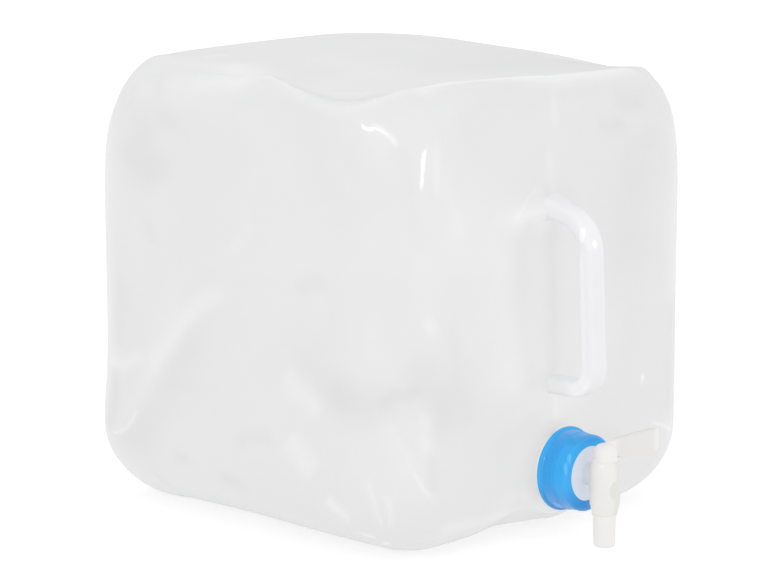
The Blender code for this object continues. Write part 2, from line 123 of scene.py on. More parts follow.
def growRings(name, rings, sides=96, closed=False):
    # a circle extruded and scaled ring by ring about Z; rings are (radius, height)
    pick()
    radius, height = rings[0]
    bpy.ops.mesh.primitive_circle_add(vertices=sides, radius=radius, location=(0, 0, 0))
    piece = newest()
    piece.name = name
    editAll()
    bpy.ops.transform.translate(value=(0, 0, height))
    if not closed:
        bpy.ops.mesh.edge_face_add()
        bpy.ops.mesh.poke()
        shape = bmesh.from_edit_mesh(piece.data)
        for vertex in shape.verts:
            vertex.select_set(math.hypot(vertex.co.x, vertex.co.y) > radius * 0.5)
        shape.select_flush_mode()
        for face in shape.faces:
            face.select_set(False)
        for edge in shape.edges:
            edge.select_set(edge.is_boundary)
        bmesh.update_edit_mesh(piece.data)
    for nextRadius, nextHeight in rings[1:]:
        bpy.ops.mesh.extrude_edges_move(TRANSFORM_OT_translate={"value": (0, 0, nextHeight - height)})
        share = nextRadius / radius
        bpy.ops.transform.resize(value=(share, share, 1), center_override=(0, 0, nextHeight))
        radius, height = nextRadius, nextHeight
    if not closed:
        bpy.ops.mesh.edge_face_add()
        bpy.ops.mesh.poke()
    leaveEdit()
    return piece


def arc(centre, radius, start, end, steps):
    # points of (radius, height) round a centre, angles in degrees from the outward direction
    points = []
    for i in range(steps + 1):
        turn = math.radians(start + (end - start) * i / steps)
        points.append((centre[0] + radius * math.cos(turn), centre[1] + radius * math.sin(turn)))
    return points


# ---- shader maths

class Wire:
    # a shader socket that takes part in sums
    def __init__(self, paint, socket):
        self.paint = paint
        self.socket = socket

    def __add__(self, other):
        return self.paint.maths("ADD", self, other)

    __radd__ = __add__

    def __mul__(self, other):
        return self.paint.maths("MULTIPLY", self, other)

    __rmul__ = __mul__

    def __sub__(self, other):
        return self.paint.maths("SUBTRACT", self, other)

    def __rsub__(self, other):
        return self.paint.maths("SUBTRACT", other, self)

    def __pow__(self, other):
        return self.paint.maths("POWER", self, other)

    def span(self, low, high, newLow=0.0, newHigh=1.0):
        return self.paint.node("ShaderNodeMapRange", {"interpolation_type": "SMOOTHSTEP"}, {
            "Value": self, "From Min": low, "From Max": high, "To Min": newLow, "To Max": newHigh})


class Paint:
    # one material and its nodes
    def __init__(self, name, **constants):
        self.material = bpy.data.materials.new(name)
        self.material.use_nodes = True
        self.tree = self.material.node_tree
        self.shader = self.tree.nodes["Principled BSDF"]
        for key, value in constants.items():
            self.shader.inputs[key.replace("_", " ")].default_value = value
        self.place = self.node("ShaderNodeTexCoord", out="Object")

    def join(self, value, socket):
        if isinstance(value, Wire):
            self.tree.links.new(value.socket, socket)
        elif isinstance(value, tuple) and len(value) == 3 and socket.type == "RGBA":
            socket.default_value = (*value, 1)
        else:
            socket.default_value = value

    def node(self, kind, settings=None, sockets=None, out=0):
        made = self.tree.nodes.new(kind)
        for key, value in (settings or {}).items():
            setattr(made, key, value)
        for key, value in (sockets or {}).items():
            self.join(value, made.inputs[key])
        return Wire(self, made.outputs[out])

    def maths(self, operation, first, second):
        return self.node("ShaderNodeMath", {"operation": operation}, {0: first, 1: second})

    def noise(self, scale, detail=2.0, roughness=0.5, distortion=0.0):
        return self.node("ShaderNodeTexNoise", {}, {
            "Vector": self.place, "Scale": scale, "Detail": detail, "Roughness": roughness,
            "Distortion": distortion})

    def along(self, axis):
        return self.node("ShaderNodeSeparateXYZ", {}, {0: self.place}, out=axis)

    def near(self, centre, radii):
        # 1 inside an ellipsoid, 0 outside it
        apart = self.node("ShaderNodeVectorMath", {"operation": "SUBTRACT"}, {0: self.place, 1: centre})
        apart = self.node("ShaderNodeVectorMath", {"operation": "DIVIDE"}, {0: apart, 1: radii})
        apart = self.node("ShaderNodeVectorMath", {"operation": "LENGTH"}, {0: apart}, out="Value")
        return apart.span(1.15, 0.85)  # with a soft rim

    def attribute(self, name):
        return self.node("ShaderNodeAttribute", {"attribute_name": name}, out="Fac")

    def mix(self, share, first, second):
        made = self.tree.nodes.new("ShaderNodeMix")
        made.data_type = "RGBA"
        made.clamp_factor = True
        self.join(share, made.inputs[0])
        self.join(first, made.inputs[6])
        self.join(second, made.inputs[7])
        return Wire(self, made.outputs[2])

    def bump(self, height, strength, distance, under=None):
        sockets = {"Height": height, "Strength": strength, "Distance": distance}
        if under is not None:
            sockets["Normal"] = under
        return self.node("ShaderNodeBump", {}, sockets)

    def set(self, **links):
        for key, value in links.items():
            self.join(value, self.shader.inputs[key.replace("_", " ")])
        return self.material


# ---- carrier skin

bag = {
    "width": 0.2698, "depth": 0.268, "height": 0.270, "wall": 0.0010,
    "cuts": (27, 2), "innerCuts": (13, 1),  # two rounds of subdivision for each face
    "fineCuts": 2,        # a third round near the sharp marks
    "uprightRadius": 0.045, "topSpread": 0.057, "topSpreadReach": 0.071,
    "baseSpread": 0.013, "baseSpreadReach": 0.055,
    "topEdgeNear": 0.0138, "topEdgeFar": 0.022,
    "baseEdgeFront": 0.041, "baseEdgeLeft": 0.0535, "baseEdgeRight": 0.0525, "baseEdgeBack": 0.028,
    "sagReach": 0.102, "sagCentre": -0.50, "sagRight": 0.008, "sagLeft": 0.0034, "sagBack": 0.001,
    "sideCornerDrop": 0.0026, "backCornerDrop": 0.0002,
    "crowd": 0.25,        # how much closer the columns lie at the front and left
    "flatShare": 0.62,    # share of a side's columns on its flat
    "baseShare": 0.24, "topShare": 0.86, "lowCrowd": 0.60,
    "topSquare": 0.96,    # how fully the top's corners take their spread
    "sagCrease": 0.06,    # how softly the sag's middle bends
    "neckHole": 0.0212,
    "bossFlat": 0.0262, "bossFoot": 0.0345, "bossRise": 0.0005,  # the round swelling that carries the neck
    "frontPart": -0.08, "frontFace": -0.1, "frontFlat": -0.12,  # y before which a point belongs to each
    "wave": 0.00018,      # how far the whole film undulates
}
frontY = -bag["depth"] / 2
neckZ = 0.041
neckAxis = Vector((0, frontY, neckZ))
nearlyOne = 0.9999


def warped(values):
    # columns crowd towards the front and left, where the skin is creased
    return values - bag["crowd"] * (1 - values * values)


def sideOffset(ratio, halfAlong, halfAcross, corner):
    flat = bag["flatShare"]
    turn = np.clip((ratio - flat) / (1 - flat), 0, 1) * math.pi / 4
    straight = ratio / flat * (halfAlong - corner)
    along = np.where(ratio <= flat, straight, halfAlong - corner + corner * np.sin(turn))
    return along, halfAcross - corner + corner * np.cos(turn), turn


def outlinePoint(u, v, corner, inset):
    halfWidth, halfDepth = bag["width"] / 2, bag["depth"] / 2
    ratio = np.minimum(abs(u), abs(v))
    sideways = abs(u) >= abs(v)
    alongV, acrossU, turnU = sideOffset(ratio, halfDepth, halfWidth, corner)
    alongU, acrossV, turnV = sideOffset(ratio, halfWidth, halfDepth, corner)
    x = np.where(sideways, acrossU, alongU) * np.sign(u + 1e-12)
    y = np.where(sideways, alongV, acrossV) * np.sign(v + 1e-12)
    normalX = np.where(sideways, np.cos(turnU), np.sin(turnV)) * np.sign(u + 1e-12)
    normalY = np.where(sideways, np.sin(turnU), np.cos(turnV)) * np.sign(v + 1e-12)
    return x - normalX * inset, y - normalY * inset, normalX, normalY


def bagPoints(grid):
    # a cube's grid, -1 to 1 each way, laid on the filled carrier
    u, v, w = warped(grid[:, 0]), warped(grid[:, 1]), grid[:, 2]
    reach = np.maximum(abs(u), abs(v))
    onLid = (reach < nearlyOne) & (abs(w) > nearlyOne)  # of the top or the base
    scale = np.where(onLid, reach, 1.0)
    centre = reach < 1 - nearlyOne
    safe = np.where(centre, 1.0, reach)
    u, v = np.where(centre, 1.0, u / safe), np.where(centre, 0.0, v / safe)
    normalX, normalY = outlinePoint(u, v, bag["uprightRadius"], 0)[2:]
    left = np.maximum(-normalX, 0) ** 2
    right = np.maximum(normalX, 0) ** 2
    back = np.maximum(normalY, 0) ** 2
    far = right + back
    front = 1 - left - far
    base = (bag["baseEdgeFront"] * front + bag["baseEdgeLeft"] * left
            + bag["baseEdgeRight"] * right + bag["baseEdgeBack"] * back)
    top = bag["topEdgeNear"] + (bag["topEdgeFar"] - bag["topEdgeNear"]) * far
    row = (w + 1) / 2
    turnBase = np.clip(row / bag["baseShare"], 0, 1) * math.pi / 2
    turnTop = np.clip((row - bag["topShare"]) / (1 - bag["topShare"]), 0, 1) * math.pi / 2
    share = np.clip((row - bag["baseShare"]) / (bag["topShare"] - bag["baseShare"]), 0, 1)
    share = share * (bag["lowCrowd"] + (1 - bag["lowCrowd"]) * share)
    height = base + share * (bag["height"] - top - base)
    height = np.where(turnBase < math.pi / 2, base * (1 - np.cos(turnBase)), height)
    height = np.where(turnTop > 0, bag["height"] - top * (1 - np.sin(turnTop)), height)
    inset = base * (1 - np.sin(turnBase)) + top * (1 - np.cos(turnTop))
    topNear = np.maximum(0, 1 - (bag["height"] - height) / bag["topSpreadReach"]) * bag["topSquare"]
    baseNear = np.maximum(0, 1 - height / bag["baseSpreadReach"])
    corner = (bag["uprightRadius"] + bag["topSpread"] * (1 - np.sqrt(1 - topNear ** 2))
              + bag["baseSpread"] * baseNear ** 2)
    x, y = outlinePoint(u, v, corner, inset)[:2]
    x, y = x * scale, y * scale
    rise = np.maximum(0, (height - bag["height"] + bag["sagReach"]) / bag["sagReach"]) ** 2
    across, along = x / (bag["width"] / 2), y / (bag["depth"] / 2)
    middle = np.maximum(0, 1 - ((along - bag["sagCentre"]) / (1 + abs(bag["sagCentre"]))) ** 2)
    bend = np.sqrt(across ** 2 + bag["sagCrease"])
    drop = rise * (bag["sagRight"] * (bend + across) / 2 + bag["sagLeft"] * (bend - across) / 2) * middle
    drop += rise * bag["sagBack"] * np.maximum(0, along) * np.maximum(0, 1 - across ** 2)
    drop += rise * bag["sideCornerDrop"] * np.maximum(0, -across * along) ** 2
    drop += rise * bag["backCornerDrop"] * np.maximum(0, across) ** 2 * np.maximum(0, along) ** 2
    return np.stack([x, y, height - drop], axis=1)


def onFront(*spots):
    # points of the front face from (x, z) in mm
    return [(x, -134, z) for x, z in spots]


def onLeft(*spots):
    # points of the left face from (y, z) in mm
    return [(-135, y, z) for y, z in spots]


# creases and dents, each along a line of points in mm: how far it stands out, how wide it is, how far its
# colour spreads (glow) and how much lighter it is painted (below zero it is painted darker and lets more of
# the dark inside show). The colour is a crease's own whitening, painted light on crests, fold sides and
# highlights, and painted shade in grooves and on folds' shaded sides; a pair is for the left and the right
# of the line as seen from outside, so a fold is painted lighter on one side and darker on the other; rough
# makes the outline uneven, soft blends the two sides, fade is the share of the line in which each end dies
# away, and fine subdivides the skin that near to it
marks = {
    "topCrest": {"out": 1.6, "wide": (2.6, 5.0), "glow": (2.2, 4.0), "white": (0.15, 0.3), "crisp": 0.8,
        "fade": 0.12, "fine": 8,
        "line": [(-100, 8, 268), (-107, -6, 268), (-118, -25, 267), (-125, -41, 266), (-130, -55, 264),
        (-132, -66, 262), (-132, -76, 260), (-130, -85, 259), (-126, -93, 260), (-119, -99, 262),
        (-110, -103, 265), (-94, -106, 268), (-79, -106, 269), (-64, -107, 269), (-50, -109, 269)]},
    # painted shade along the groove behind the top crest
    "crestGroove": {"out": -0.9, "wide": (3.4, 2.2), "glow": (2.6, 1.4), "white": -0.4, "fade": 0.25,
        "fine": 6,
        "line": [(-113, -22, 268), (-120, -40, 267), (-125, -54, 266), (-127, -66, 264),
        (-127, -76, 263), (-124, -85, 263), (-119, -92, 264), (-110, -97, 266), (-96, -100, 268)]},
    "leftTopBits": {"out": 0.6, "wide": 4, "white": 0.6, "rough": 5,
        "line": [(-80, 84, 268), (-66, 84, 269), (-52, 82, 269)]},
    "leftFold": {"out": 1.3, "wide": (10, 9), "glow": (8, 13), "white": (0.25, -0.2), "crisp": 2.0,
        "fade": 0.2, "soft": 6,
        "line": [(-129, 110, 42), (-134, 95, 49), (-135, 86, 56), (-135, 73, 70), (-135, 61, 87),
        (-135, 47, 103), (-135, 32, 121), (-135, 20, 132), (-135, 9, 139)]},
    "leftFoldCorner": {"out": 0.5, "wide": 1.2, "white": 0.75, "rough": 1.6, "fine": 6,
        "line": [(-130, 106, 43), (-134, 97, 46), (-135, 89, 51), (-135, 83, 57), (-135, 80, 62),
        (-135, 75, 65)]},
    "backLowSpecks": {"out": -0.4, "wide": 3, "white": -0.4, "rough": 5,
        "line": [(-129, 80, 28), (-124, 75, 21), (-119, 68, 15)]},
    "foldA": {"out": 0.8, "wide": (5, 9), "glow": (6, 8), "white": (0.25, 0.3), "crisp": 0.8,
        "soft": 2.5, "fine": 7, "line": onLeft((-44, 106), (-55, 98), (-66, 92), (-76, 84))},
    "foldB": {"out": 0.8, "wide": (6, 8), "glow": 8, "white": 0.38, "crisp": 1.0, "soft": 2.5,
        "rough": 1.5, "fine": 7, "line": onLeft((-47, 70), (-55, 62), (-62, 55), (-71, 49))},
    "foldC": {"out": 0.9, "wide": (3, 4), "glow": (4, 5), "white": (0.45, 0.5), "crisp": 0.6,
        "rough": 0.8, "fine": 5,
        "line": [(-133, -75, 37), (-131, -81, 32), (-128, -87, 27), (-126, -91, 25)]},
    "foldD": {"out": 0.5, "wide": 1.6, "white": 0.75, "fine": 4,
        "line": [(-120, -90, 17), (-117, -94, 15), (-115, -99, 14)]},
    "foldE": {"out": 1.1, "wide": (6, 4), "glow": (3, 7), "white": (0.1, 0.15), "crisp": 0.7,
        "soft": 2.5, "fine": 7,
        "line": [(-128, -113, 97), (-124, -119, 79), (-119, -124, 67), (-115, -126, 58), (-111, -128, 50)]},
    "foldEtail": {"out": 0.3, "wide": 1.5, "white": 0.38, "fine": 5,
        "line": [(-116, -126, 59), (-113, -128, 54), (-110, -129, 48), (-104, -131, 40)]},
    "foldEshade": {"out": -0.3, "wide": 4, "white": -0.3, "rough": 1.5,
        "line": [(-104, -132, 68), (-103, -132, 54), (-103, -132, 42)]},
    "foldF": {"out": 0.8, "wide": (1.8, 2.6), "white": 0.28, "crisp": 0.5, "fine": 5,
        "line": [(-131, -107, 54), (-129, -109, 42), (-123, -109, 28), (-118, -107, 19)]},
    "foldG": {"out": 0.7, "wide": (2.4, 1.8), "white": 0.28, "crisp": 0.5, "fine": 5,
        "line": [(-126, -116, 45), (-122, -116, 34), (-117, -111, 21)]},
    "tip": {"out": 0.5, "wide": 1.6, "white": 1.0, "fine": 4,
        "line": [(-107, -97, 8), (-110, -103, 12)]},
    "lightSpot": {"out": 0.25, "wide": 5, "white": 0.36, "rough": 3,
        "line": [(-110, -130, 138), (-101, -132, 142)]},
    # arcRidge carries a painted highlight: a bright arc on the rounded corner
    "arcRidge": {"out": 0.22, "wide": 2.4, "glow": 1.5, "white": 0.9, "crisp": 0.8, "fine": 6,
        "line": [(-126, -103.5, 252), (-124, -107, 250.5), (-122, -111, 248), (-119.5, -115, 244),
        (-117.5, -119, 238)]},
    # a painted highlight line down the front-left corner
    "uprightRidge": {"out": 0.12, "wide": (1.6, 2.2), "glow": (1.4, 2.4), "white": (0.2, 0.3), "fine": 6,
        "line": [(-98, -130, 246), (-100, -131, 231), (-101, -132, 221), (-101, -132, 208)]},
    "leftTopShade": {"out": -0.3, "wide": 12, "white": -0.4, "rough": 7,
        "line": onLeft((65, 243), (74, 233), (80, 222), (69, 213), (57, 204), (52, 196))},
    "faintStreak": {"out": 0.2, "wide": 2.4, "white": 0.2, "rough": 2,
        "line": onLeft((-1, 168), (-10, 177), (-21, 187))},
    "rightTopStreak": {"out": -0.2, "wide": 6, "white": -0.36, "rough": 3,
        "line": onFront((43, 251), (59, 250), (77, 249))},
    "rightTopStreakLow": {"out": -0.2, "wide": (5, 4), "white": -0.33, "rough": 4,
        "line": onFront((31, 233), (45, 234), (57, 239))},
    "rightTopShade": {"out": -0.3, "wide": (10, 12), "white": -0.18, "rough": 6,
        "line": onFront((85, 236), (83, 226), (80, 218))},
    # a painted highlight spot in the dimple
    "dimple": {"out": -0.1, "wide": 3.2, "glow": 3.0, "white": 1.0, "crisp": 0.8, "fine": 8,
        "line": onFront((74, 82), (77, 81))},
    "rightCrease": {"out": 0.9, "wide": (2, 3), "glow": 1.4, "white": 0.6, "crisp": 0.5, "fine": 6,
        "line": [(82, -134, 55), (88, -134, 52), (96, -134, 49), (108, -130, 43)]},
    "webRidge": {"out": 0.7, "wide": (1.8, 2.6), "glow": (1.0, 1.6), "white": 0.3, "crisp": 0.8,
        "fade": 0.1, "fine": 5,
        "line": onFront((-39, 191), (-36, 194), (-32, 198), (-28, 203), (-22, 206.5), (-15, 205))},
    "topCrestFront": {"out": 0.7, "wide": (1.8, 9), "glow": (1.6, 6), "white": (0.3, 0.4), "crisp": 0.8,
        "fade": 0.12, "fine": 7,
        "line": [(-84, -106, 269), (-64, -107, 269), (-50, -109, 269), (-38, -113, 269),
        (-28, -117, 269), (-13, -121, 269), (1, -125, 269), (35, -123, 268), (57, -120, 267),
        (83, -113, 264), (98, -108, 262)]},
    "backFoldA": {"out": 1.0, "wide": (9, 10), "glow": (8, 10), "white": (0.22, -0.12), "crisp": 2.0,
        "soft": 5, "line": [(118, 110, 70), (96, 126, 92), (70, 131, 112), (48, 133, 124)]},
    "backFoldB": {"out": 0.9, "wide": 8, "glow": (8, 9), "white": (0.2, -0.1), "crisp": 1.5, "soft": 4,
        "line": [(-104, 128, 62), (-78, 132, 84), (-60, 133, 104)]},
    "backDent": {"out": -0.7, "wide": 12, "white": -0.2, "crisp": 3.0, "rough": 5,
        "line": [(-20, 134, 236), (6, 134, 226), (30, 134, 230)]},
    "rightFoldA": {"out": 1.0, "wide": 9, "glow": (9, 8), "white": (-0.12, 0.22), "crisp": 2.0, "soft": 5,
        "line": [(127, -86, 60), (134, -66, 84), (135, -46, 106), (135, -26, 122)]},
    "rightFoldB": {"out": 0.7, "wide": 8, "white": 0.18, "crisp": 1.5, "rough": 3,
        "line": [(134, 84, 66), (135, 64, 92), (135, 48, 120)]},
    "rightTopDent": {"out": -0.6, "wide": 12, "white": -0.2, "crisp": 3.0, "rough": 5,
        "line": [(132, 44, 232), (134, 16, 224), (134, -18, 230)]},
}
# patches without relief, nearly all painted light and painted shade: lighter where light falls on the film,
# darker where shade falls on it or shows through it; how wide in mm, how much, how uneven, and the line
patches = {
    "frontTopLight": ((6, 5), 0.45, 0, [(-91, -113, 267), (-69, -107, 268), (-50, -106, 269),
        (-40, -113, 269), (-19, -124, 269), (7, -127, 268), (34, -127, 267), (55, -126, 266),
        (80, -118, 264)]),
    "leftTopLight": (9, 0.35, 3, [(-133, 44, 258), (-132, 30, 261), (-130, 14, 264), (-127, -3, 265)]),
    "leftTopPatch": (13, 0.5, 4, [(-88, 40, 268), (-100, 20, 268), (-113, -2, 267)]),
    "backCornerLight": (5, 0.2, 2, [(-134, 74, 256), (-134, 66, 258)]),
    "topFarShade": ((30, 26), -0.16, 4, [(96, 0, 265), (72, -30, 267), (40, -70, 268), (-5, -74, 270),
        (-26, -71, 269)]),
    "topNearLight": (20, 0.2, 5, [(-26, 26, 269), (-41, -24, 269), (-66, -46, 268)]),
    # a lighter streak on the left face
    "leftPaleStreak": (4, 0.3, 2, [(-131, 107, 87), (-135, 92, 90), (-135, 80, 96)]),
    "leftEdgeHigh": (7, -0.23, 4, [(-135, 92, 133), (-135, 95, 120), (-134, 99, 104)]),
    "leftEdgeLow": (6, -0.4, 2, [(-133, 101, 77), (-134, 100, 64), (-131, 106, 50)]),
    "foldEband": (4, 0.3, 0, [(-109, -130, 88), (-108, -130, 71)]),
    # painted shade: dark blots where shade inside the carrier shows through the film
    "shadeBlotA": (12, -0.42, 5, [(-134, -93, 95), (-131, -107, 93), (-129, -112, 96)]),
    "shadeBlotAup": (12, -0.25, 6, onLeft((-68, 113), (-78, 105), (-86, 98))),
    "shadeBlotBridge": (4, -0.36, 4, [(-126, -116, 98), (-123, -120, 103), (-119, -124, 101),
        (-114, -127, 104)]),
    "shadeBlotB": ((11, 12), -0.44, 4, [(-110, -129, 113), (-107, -131, 101), (-101, -133, 88)]),
    "shadeBlotBside": (13, -0.3, 6, onFront((-91, 104), (-84, 96), (-79, 86))),
    "shadeBlotBtail": (5, -0.12, 3, onFront((-91, 139), (-88, 124), (-88, 108))),
    "uprightLight": ((5, 10), 0.15, 3, [(-98, -133, 226), (-92, -134, 208), (-86, -134, 192)]),
    "frontLight": (26, 0.22, 10, onFront((-82, 190), (-62, 168), (-48, 140), (-44, 112))),
    "cornerShade": (5, -0.09, 2, [(-117, -120, 238), (-116, -124, 222), (-115, -126, 205),
        (-111, -129, 185)]),
    "leftTopShadeSide": (6, -0.26, 5, onLeft((57, 239), (43, 237))),
    "leftSpot": (3.5, -0.23, 3, onLeft((69, 175), (67, 169))),
    "middleSpot": (4.5, -0.23, 4, onLeft((-58, 157), (-74, 160))),
    "rightTopShadeLow": (24, -0.32, 4, onFront((66, 206), (64, 190), (62, 172))),
    "rightEdgeShade": (8, -0.4, 3, [(107, -130, 118), (107, -130, 90), (106, -130, 62)]),
    "lowFrontLight": (6, 0.35, 2, [(-88, -127, 20), (-60, -126, 18), (-33, -126, 17), (-12, -125, 16)]),
    # painted shadow of the grip on the wall behind it
    "stripShade": (5.5, -0.36, 0, onFront((-8.5, 184), (-7.5, 163), (-6, 140), (-6, 117), (-5, 99))),
    "webLight": (7, 0.6, 0, onFront((-37, 191), (-29, 193), (-20, 193))),
    "rootShade": (3, -0.1, 0, onFront((-12, 203), (-14, 190))),
    # painted light in a ring round the cap, lifting the shade that falls on the wall there
    "capRingLight": (15, 0.3, 2, onFront((-38, 28), (-37, 50), (-28, 67), (-9, 77), (12, 75))),
    "seamStreak": (1.5, 0.4, 0, onFront((-2, 81), (-1.6, 71))),
    # a painted highlight along the parting line where it rounds the top edge
    "seamTop": (1.8, 0.28, 0, [(-7, -133, 262), (-7, -134, 250), (-7, -134, 240)]),
    "lowSpotA": (4, -0.33, 2, [(-133, 46, 38), (-133, 38, 39)]),
    "lowSpotB": (6, -0.3, 3, [(-131, 8, 33), (-131, 0, 33)]),
    "lowSpotC": (5, -0.33, 4, onLeft((-13, 59), (-32, 64))),
    "leftFoldShade": (14, -0.22, 3, [(-133, 80, 46), (-135, 66, 60), (-135, 52, 76), (-135, 40, 90),
        (-135, 30, 103)]),
    "leftFoldLight": (6, 0.3, 0, onLeft((64, 96), (50, 110), (38, 123), (24, 134), (12, 141))),
    "topDarkLeft": (12, -0.1, 4, [(-16, 74, 269), (-47, 39, 269), (-81, -1, 268), (-104, -32, 267)]),
    "topFarEdge": (14, -0.2, 5, [(62, 91, 268), (90, 75, 267), (98, 48, 266)]),
    "webTop": (4, 0.18, 0, onFront((-10, 222), (-7, 213), (-8, 206))),
    "frontBand": (12, 0.22, 3, onFront((-46, 190), (-44, 150), (-42, 108))),
    "topLeftLight": (16, 0.28, 3, [(-100, 80, 267), (-100, 50, 268), (-106, 22, 268)]),
}
for name, (wide, white, rough, line) in patches.items():
    marks[name] = {"line": line, "wide": wide, "white": white, "rough": rough}
# whole corners drawn in or out: place, reach and push in mm
pulls = {
    "frontRightEar": {"at": (105, -108, 263), "reach": (9, 9, 9), "push": (1.0, -1.0, 3.2)},
    "backLeftTip": {"at": (-94, 108, 267), "reach": (13, 12, 9), "push": (0.0, 0.0, 1.5)},
    "frontLow": {"at": (-20, -118, 8), "reach": (19, 22, 13), "push": (0.0, 0.0, 4.8)},
    "bossToe": {"at": (24, -112, 5), "reach": (9, 14, 9), "push": (0.0, -0.6, -1.6)},
    "leftLow": {"at": (-112, 28, 8), "reach": (22, 55, 14), "push": (0.0, 0.0, 1.9)},
    "backLeftLow": {"at": (-127, 114, 50), "reach": (14, 14, 26), "push": (-2.0, 1.8, 0.0)},
    "farRightTop": {"at": (112, -72, 263), "reach": (20, 34, 14), "push": (0.0, 0.0, -3.1)},
    "frontRightCut": {"at": (113, -112, 252), "reach": (13, 14, 11), "push": (-1.8, 1.0, -0.4)},
    "topHollow": {"at": (5, 15, 270), "reach": (85, 75, 14), "push": (0.0, 0.0, -1.5)},
    "crestHollow": {"at": (-112, -68, 270), "reach": (18, 28, 14), "push": (0.4, 0.0, -1.2)},
}
# a corner that the film spans as a flat facet: its normal, its distance in mm and how softly it takes over
facet = {"normal": (-0.5335, 0.6884, 0.4915), "distance": 261.4, "soft": 2.6}
# the web that the grip's upper root pulls out of the front wall: outline in (x, z) mm, its peak and height,
# the share of the height at which it is cut flat and how hollow its flanks are
gripWeb = {"outline": [(-41, 190), (-21.5, 207.5), (8, 207), (29, 189), (10, 183.5), (-30, 183.5)],
           "peak": (-8, 195), "high": 6.0, "cutOff": 0.82, "hollow": 1.6}
# the mould's parting line leans, and the grip with it: x in mm at two heights; then its half width, how far
# it stands out, its whitening, the lowest point where it shows, and how far the lean reaches to the sides,
# up from its foot and round to the back, all in metres
seam = {"low": (-2.5, 92.8), "high": (-11.9, 269.0), "half": 0.0007, "rise": 0.00005, "white": 0.05,
        "lowest": 0.07, "reach": 0.085, "foot": 0.04, "footReach": 0.05, "back": 0.2}


def seamX(z):
    (lowX, lowZ), (highX, highZ) = seam["low"], seam["high"]
    return (lowX + (highX - lowX) * (z * 1000 - lowZ) / (highZ - lowZ)) / 1000


def uneven(points, size):
    # a smooth wandering of each point, in metres, that gives marks a ragged outline
    x, y, z = points.T * 1000
    a = np.sin(z / 11 + 1.4 * np.sin(y / 17 + x / 21)) + 0.5 * np.sin(y / 8 + 1.6 * np.sin(z / 13))
    b = np.sin(x / 12 + 1.5 * np.sin(z / 16 + 1.0)) + 0.5 * np.sin(z / 7 + 1.5 * np.sin(x / 12 + 2.0))
    c = np.sin(y / 11 + 1.3 * np.sin(x / 15 + 3.0)) + 0.5 * np.sin(x / 8 + 1.5 * np.sin(y / 14))
    return np.stack([b, a, c], axis=1) * size / 2400


def nearLine(points, normals, line, soft=1.6):
    # distance in mm to a line of points, how far along it (0 to 1), and the side: 1 left of it, -1 right
    corners = np.array(line, float) / 1000
    steps = np.linalg.norm(np.diff(corners, axis=0), axis=1)
    lengths = np.concatenate([[0], np.cumsum(steps)])
    best = np.full(len(points), 9.0)
    place = np.zeros(len(points))
    side = np.ones(len(points))
    for i, step in enumerate(steps):
        way = (corners[i + 1] - corners[i]) / step
        along = np.clip((points - corners[i]) @ way, 0, step)
        apart = points - corners[i] - along[:, None] * way
        gap = np.linalg.norm(apart, axis=1)
        leftward = (apart * np.cross(normals, way)).sum(axis=1)
        closer = gap < best
        best = np.where(closer, gap, best)
        place = np.where(closer, (lengths[i] + along) / lengths[-1], place)
        side = np.where(closer, np.tanh(leftward * 1000 / soft), side)
    return best * 1000, place, side


def webHeight(points):
    outline = np.array(gripWeb["outline"], float) / 1000
    peak = np.array(gripWeb["peak"], float) / 1000
    flat = points[:, [0, 2]]
    height = np.full(len(points), 9.0)
    for i in range(len(outline)):
        start, end = outline[i], outline[(i + 1) % len(outline)]
        side = end - start
        inward = np.array([side[1], -side[0]]) / np.linalg.norm(side)
        height = np.minimum(height, ((flat - start) @ inward) / ((peak - start) @ inward))
    height = np.clip(height, 0, gripWeb["cutOff"]) / gripWeb["cutOff"]
    return height ** gripWeb["hollow"] * (points[:, 1] < bag["frontFace"])


def blended(pair, left):
    # a mark's value on the left of its line and on the right, or the same on both
    here, there = pair if isinstance(pair, tuple) else (pair, pair)
    return here * left + there * (1 - left)


